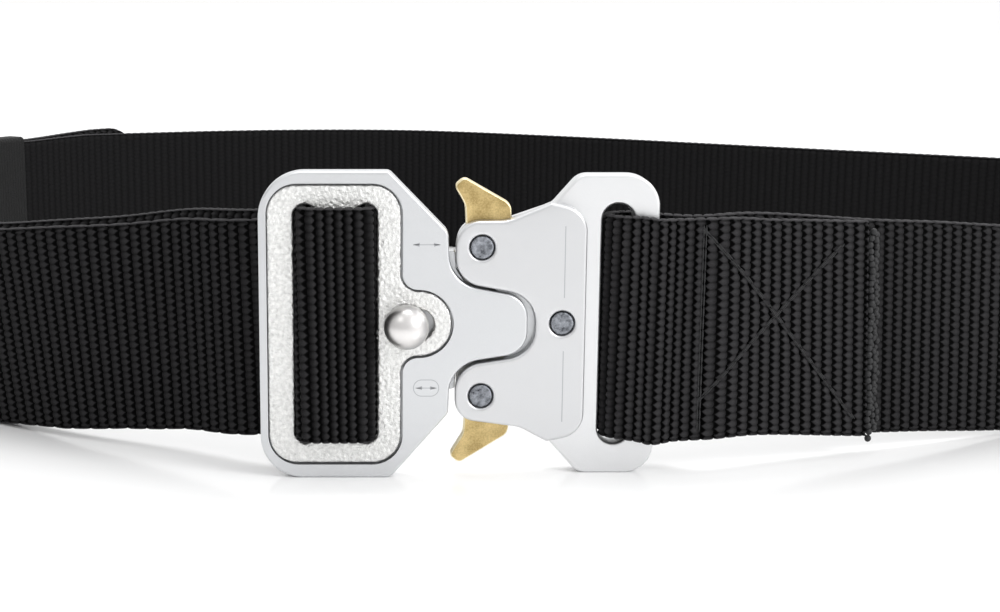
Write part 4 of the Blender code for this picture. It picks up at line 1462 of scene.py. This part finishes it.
def past_fold(x, across, out):
    """Point in front of the layer that the end is sewn to, by its X."""
    front = (strap_along >= LOOP_START) & (strap_along <= LOOP_START + FRONT_RIGHT_LENGTH)
    distance = np.interp(x, strap_path[front, 0], strap_along[front])
    return strap_point(distance, across, STRAP_THICKNESS / 2 + out)


def stitch_tree():
    """Sets short thread stitches end to end along each line."""
    sizes = {"Pitch": STITCH_PITCH * MM, "Thread Radius": THREAD_RADIUS * MM,
             "Stitch Length": STITCH_LENGTH * MM}
    made, tree, entry, identifiers = group("stitches", sizes)
    lines = tree.add("GeometryNodeMeshToCurve", Mesh=entry.outputs["Geometry"])
    points = tree.add("GeometryNodeResampleCurve", {"mode": "LENGTH"}, Curve=lines.outputs[0],
                      Length=entry.outputs["Pitch"])
    tangent = tree.add("GeometryNodeInputTangent")
    turn = tree.add("FunctionNodeAlignRotationToVector", {"axis": "Z"}, Vector=tangent.outputs[0])
    bead = tree.add("GeometryNodeMeshUVSphere", Segments=8, Rings=6, Radius=1.0)
    half = tree.number(entry, "Stitch Length") * 0.5
    size = tree.add("ShaderNodeCombineXYZ", X=entry.outputs["Thread Radius"],
                    Y=entry.outputs["Thread Radius"], Z=half)
    placed = tree.add("GeometryNodeInstanceOnPoints", Points=points.outputs[0], Instance=bead.outputs[0],
                      Rotation=turn.outputs[0], Scale=size.outputs[0])
    realized = tree.add("GeometryNodeRealizeInstances", Geometry=placed.outputs[0])
    smooth = tree.add("GeometryNodeSetShadeSmooth", Geometry=realized.outputs[0])
    tree.add("NodeGroupOutput", Geometry=smooth.outputs[0])
    return made, identifiers


def polylines(name, lines):
    mesh = bpy.data.meshes.new(name)
    verts, edges = [], []
    for line in lines:
        edges += [(len(verts) + i, len(verts) + i + 1) for i in range(len(line) - 1)]
        verts += [at(point) for point in line]
    mesh.from_pydata(verts, edges, [])
    return link(name, mesh)


def share_run(run, share):
    return run.start_x + (run.end_x - run.start_x) * share, run.start_z + (run.end_z - run.start_z) * share


def build_sewing():
    """Twin stitch lines in a box and cross, and the bar tack that covers the cut end."""
    made, identifiers = stitch_tree()
    shares = np.linspace(0.0, 1.0, 25)
    twins = (-TWIN_GAP / 2, TWIN_GAP / 2)
    lines = [[on_fold(share_run(run, share)[0] + shift, share_run(run, share)[1]) for share in shares]
             for run in SEWN_RUNS for shift in twins]
    draw = np.random.default_rng(5)
    columns = []
    for run, out in zip(TACK_COLUMNS, TACK_OUT):
        spots = [share_run(run, share) for share in np.linspace(0.0, 1.0, 36)]
        columns.append([past_fold(x + draw.uniform(-TACK_JITTER, TACK_JITTER), z,
                                  out + draw.uniform(-TACK_JITTER, TACK_JITTER) / 2) for x, z in spots])
    beads = {"Pitch": TACK_PITCH * MM, "Thread Radius": TACK_RADIUS * MM, "Stitch Length": TACK_LENGTH * MM}
    for name, runs_of_thread, values in (("sewing", lines, {}), ("bar_tack", columns, beads)):
        piece = polylines(name, runs_of_thread)
        through(piece, made, values, identifiers)
        dress(piece, THREAD)
        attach(piece, "belt")


def divided(ring):
    """The closed ring with its two upright sides cut into short steps."""
    points = []
    for here, following in zip(ring, ring[1:] + ring[:1]):
        rise = following[1] - here[1]
        steps = KEEPER_SIDE_STEPS if abs(rise) > STRAP_WIDTH / 2 else 1
        for step in range(steps):
            points.append((here[0] + (following[0] - here[0]) * step / KEEPER_SIDE_STEPS,
                           here[1] + rise * step / KEEPER_SIDE_STEPS))
    return points


def build_keeper():
    """Elastic loop round both layers, ribbed the other way."""
    back = loop[::-1]
    length = run_length(back)
    along = np.linspace(KEEPER_START, KEEPER_START + KEEPER_LENGTH, KEEPER_ROWS)
    middle = sampled(along, length, back * (1.0, 1.0, 0.0))[::-1]
    away = outward(middle)
    half_depth = (LAYER_PITCH + STRAP_THICKNESS + KEEPER_WALL) / 2 + KEEPER_SIDE_SLACK
    floor = KEEPER_WALL / 2
    top = KEEPER_LIFT + STRAP_WIDTH + KEEPER_TOP_SLACK + KEEPER_WALL / 2
    ring = stadium(-half_depth, half_depth, floor, top, KEEPER_CORNER)
    ring = divided(ring)
    gone = np.concatenate([[0.0], np.cumsum([math.dist(p, q) for p, q in zip(ring, ring[1:])])])
    mesh = bpy.data.meshes.new("keeper_loop")
    work = bmesh.new()
    rings = []
    for point, out in zip(middle, away):
        rings.append([work.verts.new(at((point[0] + out[0] * (LAYER_PITCH / 2 + across),
                                         point[1] + out[1] * (LAYER_PITCH / 2 + across), height)))
                      for across, height in ring])
    uv = work.loops.layers.uv.new("weave")
    count = len(ring)
    for step, (here, following) in enumerate(zip(rings, rings[1:])):
        for i in range(count):
            j = (i + 1) % count
            face = work.faces.new((here[i], here[j], following[j], following[i]))
            ends = (gone[i], gone[i + 1] if i + 1 < count else gone[-1] + 1.0)
            spots = [(step, ends[0]), (step, ends[1]), (step + 1, ends[1]), (step + 1, ends[0])]
            for corner, (row, reach) in zip(face.loops, spots):
                corner[uv].uv = (row * KEEPER_LENGTH / (KEEPER_ROWS - 1) * MM, reach * MM)
    bmesh.ops.recalc_face_normals(work, faces=work.faces)
    work.to_mesh(mesh)
    work.free()
    piece = link("keeper_loop", mesh)
    wall = piece.modifiers.new("Thickness", "SOLIDIFY")
    wall.thickness = KEEPER_WALL * MM
    wall.offset = 0.0
    wall.use_even_offset = True
    piece.data.shade_smooth()
    settle_modifiers(piece)
    piece.data.set_sharp_from_angle(angle=SHARP_EDGE)
    dress(piece, ELASTIC)
    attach(piece, "belt")
    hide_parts("keeper")


# Stage

# Strength of the world light: a level in front that grows to the right and upwards, and one behind
SKY_LEVEL = 0.86
SKY_RIGHT = 0.22
SKY_UP = 0.1
SKY_BEHIND = 1.05
SKY_TURN = 8.0
FLOOR_TONE = (0.95, 0.95, 0.952)

# Camera: fitted to the photograph's buckle and strap edges
CAMERA_PLACE = (-23.46, -319.6, 96.4)
CAMERA_TILT = 79.21
CAMERA_LENS = 58.86
CAMERA_SHIFT = 0.12


def build_stage():
    """Pale floor, even white surroundings and three soft lights."""
    bpy.ops.mesh.primitive_plane_add(size=30.0, location=(0.0, 8.0, 0.0))
    floor = bpy.context.object
    floor.name = "floor"
    made, tree, shader = surface("pale_floor", Roughness=0.16, Specular_IOR_Level=0.35)
    wire(made.node_tree, shader.inputs["Base Color"], FLOOR_TONE)
    floor.data.materials.append(made)

    world = bpy.data.worlds.new("studio")
    bpy.context.scene.world = world
    world.use_nodes = True
    tree = Tree(world.node_tree)
    sky = world.node_tree.nodes["Background"]
    sky.inputs["Color"].default_value = (1.0, 1.0, 1.0, 1.0)
    toward = tree.add("ShaderNodeSeparateXYZ", Vector=tree.add("ShaderNodeTexCoord").outputs["Generated"])
    in_front = tree.number(toward, "X") * SKY_RIGHT + tree.number(toward, "Z") * SKY_UP + SKY_LEVEL
    behind = (tree.number(toward, "Y") * SKY_TURN).clamped() * SKY_BEHIND
    wire(world.node_tree, sky.inputs["Strength"], in_front.math("MAXIMUM", behind))

    softbox("key_light", (1.0, -0.75, 0.75), (0.0, 0.02, 0.03), 0.5, 9.0)
    softbox("fill_light", (-0.75, -0.85, 1.15), (0.02, 0.02, 0.03), 0.5, 1.0)
    softbox("top_light", (0.05, 0.15, 1.3), (0.0, 0.02, 0.0), 0.6, 7.0)


def softbox(name, place, target, size, power):
    light = bpy.data.lights.new(name, "AREA")
    light.shape = "SQUARE"
    light.size = size
    light.energy = power
    lamp = bpy.data.objects.new(name, light)
    bpy.context.scene.collection.objects.link(lamp)
    lamp.location = place
    lamp.rotation_euler = (Vector(target) - Vector(place)).to_track_quat("-Z", "Y").to_euler()


def build_camera():
    """Seen from in front of the buckle, a little above it."""
    lens = bpy.data.cameras.new("camera")
    lens.sensor_width = 36.0
    lens.lens = CAMERA_LENS
    lens.shift_x = CAMERA_SHIFT
    camera = bpy.data.objects.new("camera", lens)
    bpy.context.scene.collection.objects.link(camera)
    camera.location = at(CAMERA_PLACE)
    camera.rotation_euler = (math.radians(CAMERA_TILT), 0.0, 0.0)
    bpy.context.scene.camera = camera


bpy.context.scene.view_settings.view_transform = "Standard"
build_camera()
build_stage()
build_strap()
build_sewing()
build_keeper()
build_male_plate()
build_insert()
build_stud()
build_female()
build_rivets()
build_lever("upper_lever", LEVER_OUTLINE, UPPER_PIVOT_Z)
build_lever("lower_lever", mirrored(LEVER_OUTLINE[:2] + LONG_TIP + LEVER_OUTLINE[4:]), LOWER_PIVOT_Z)
etched_lines()
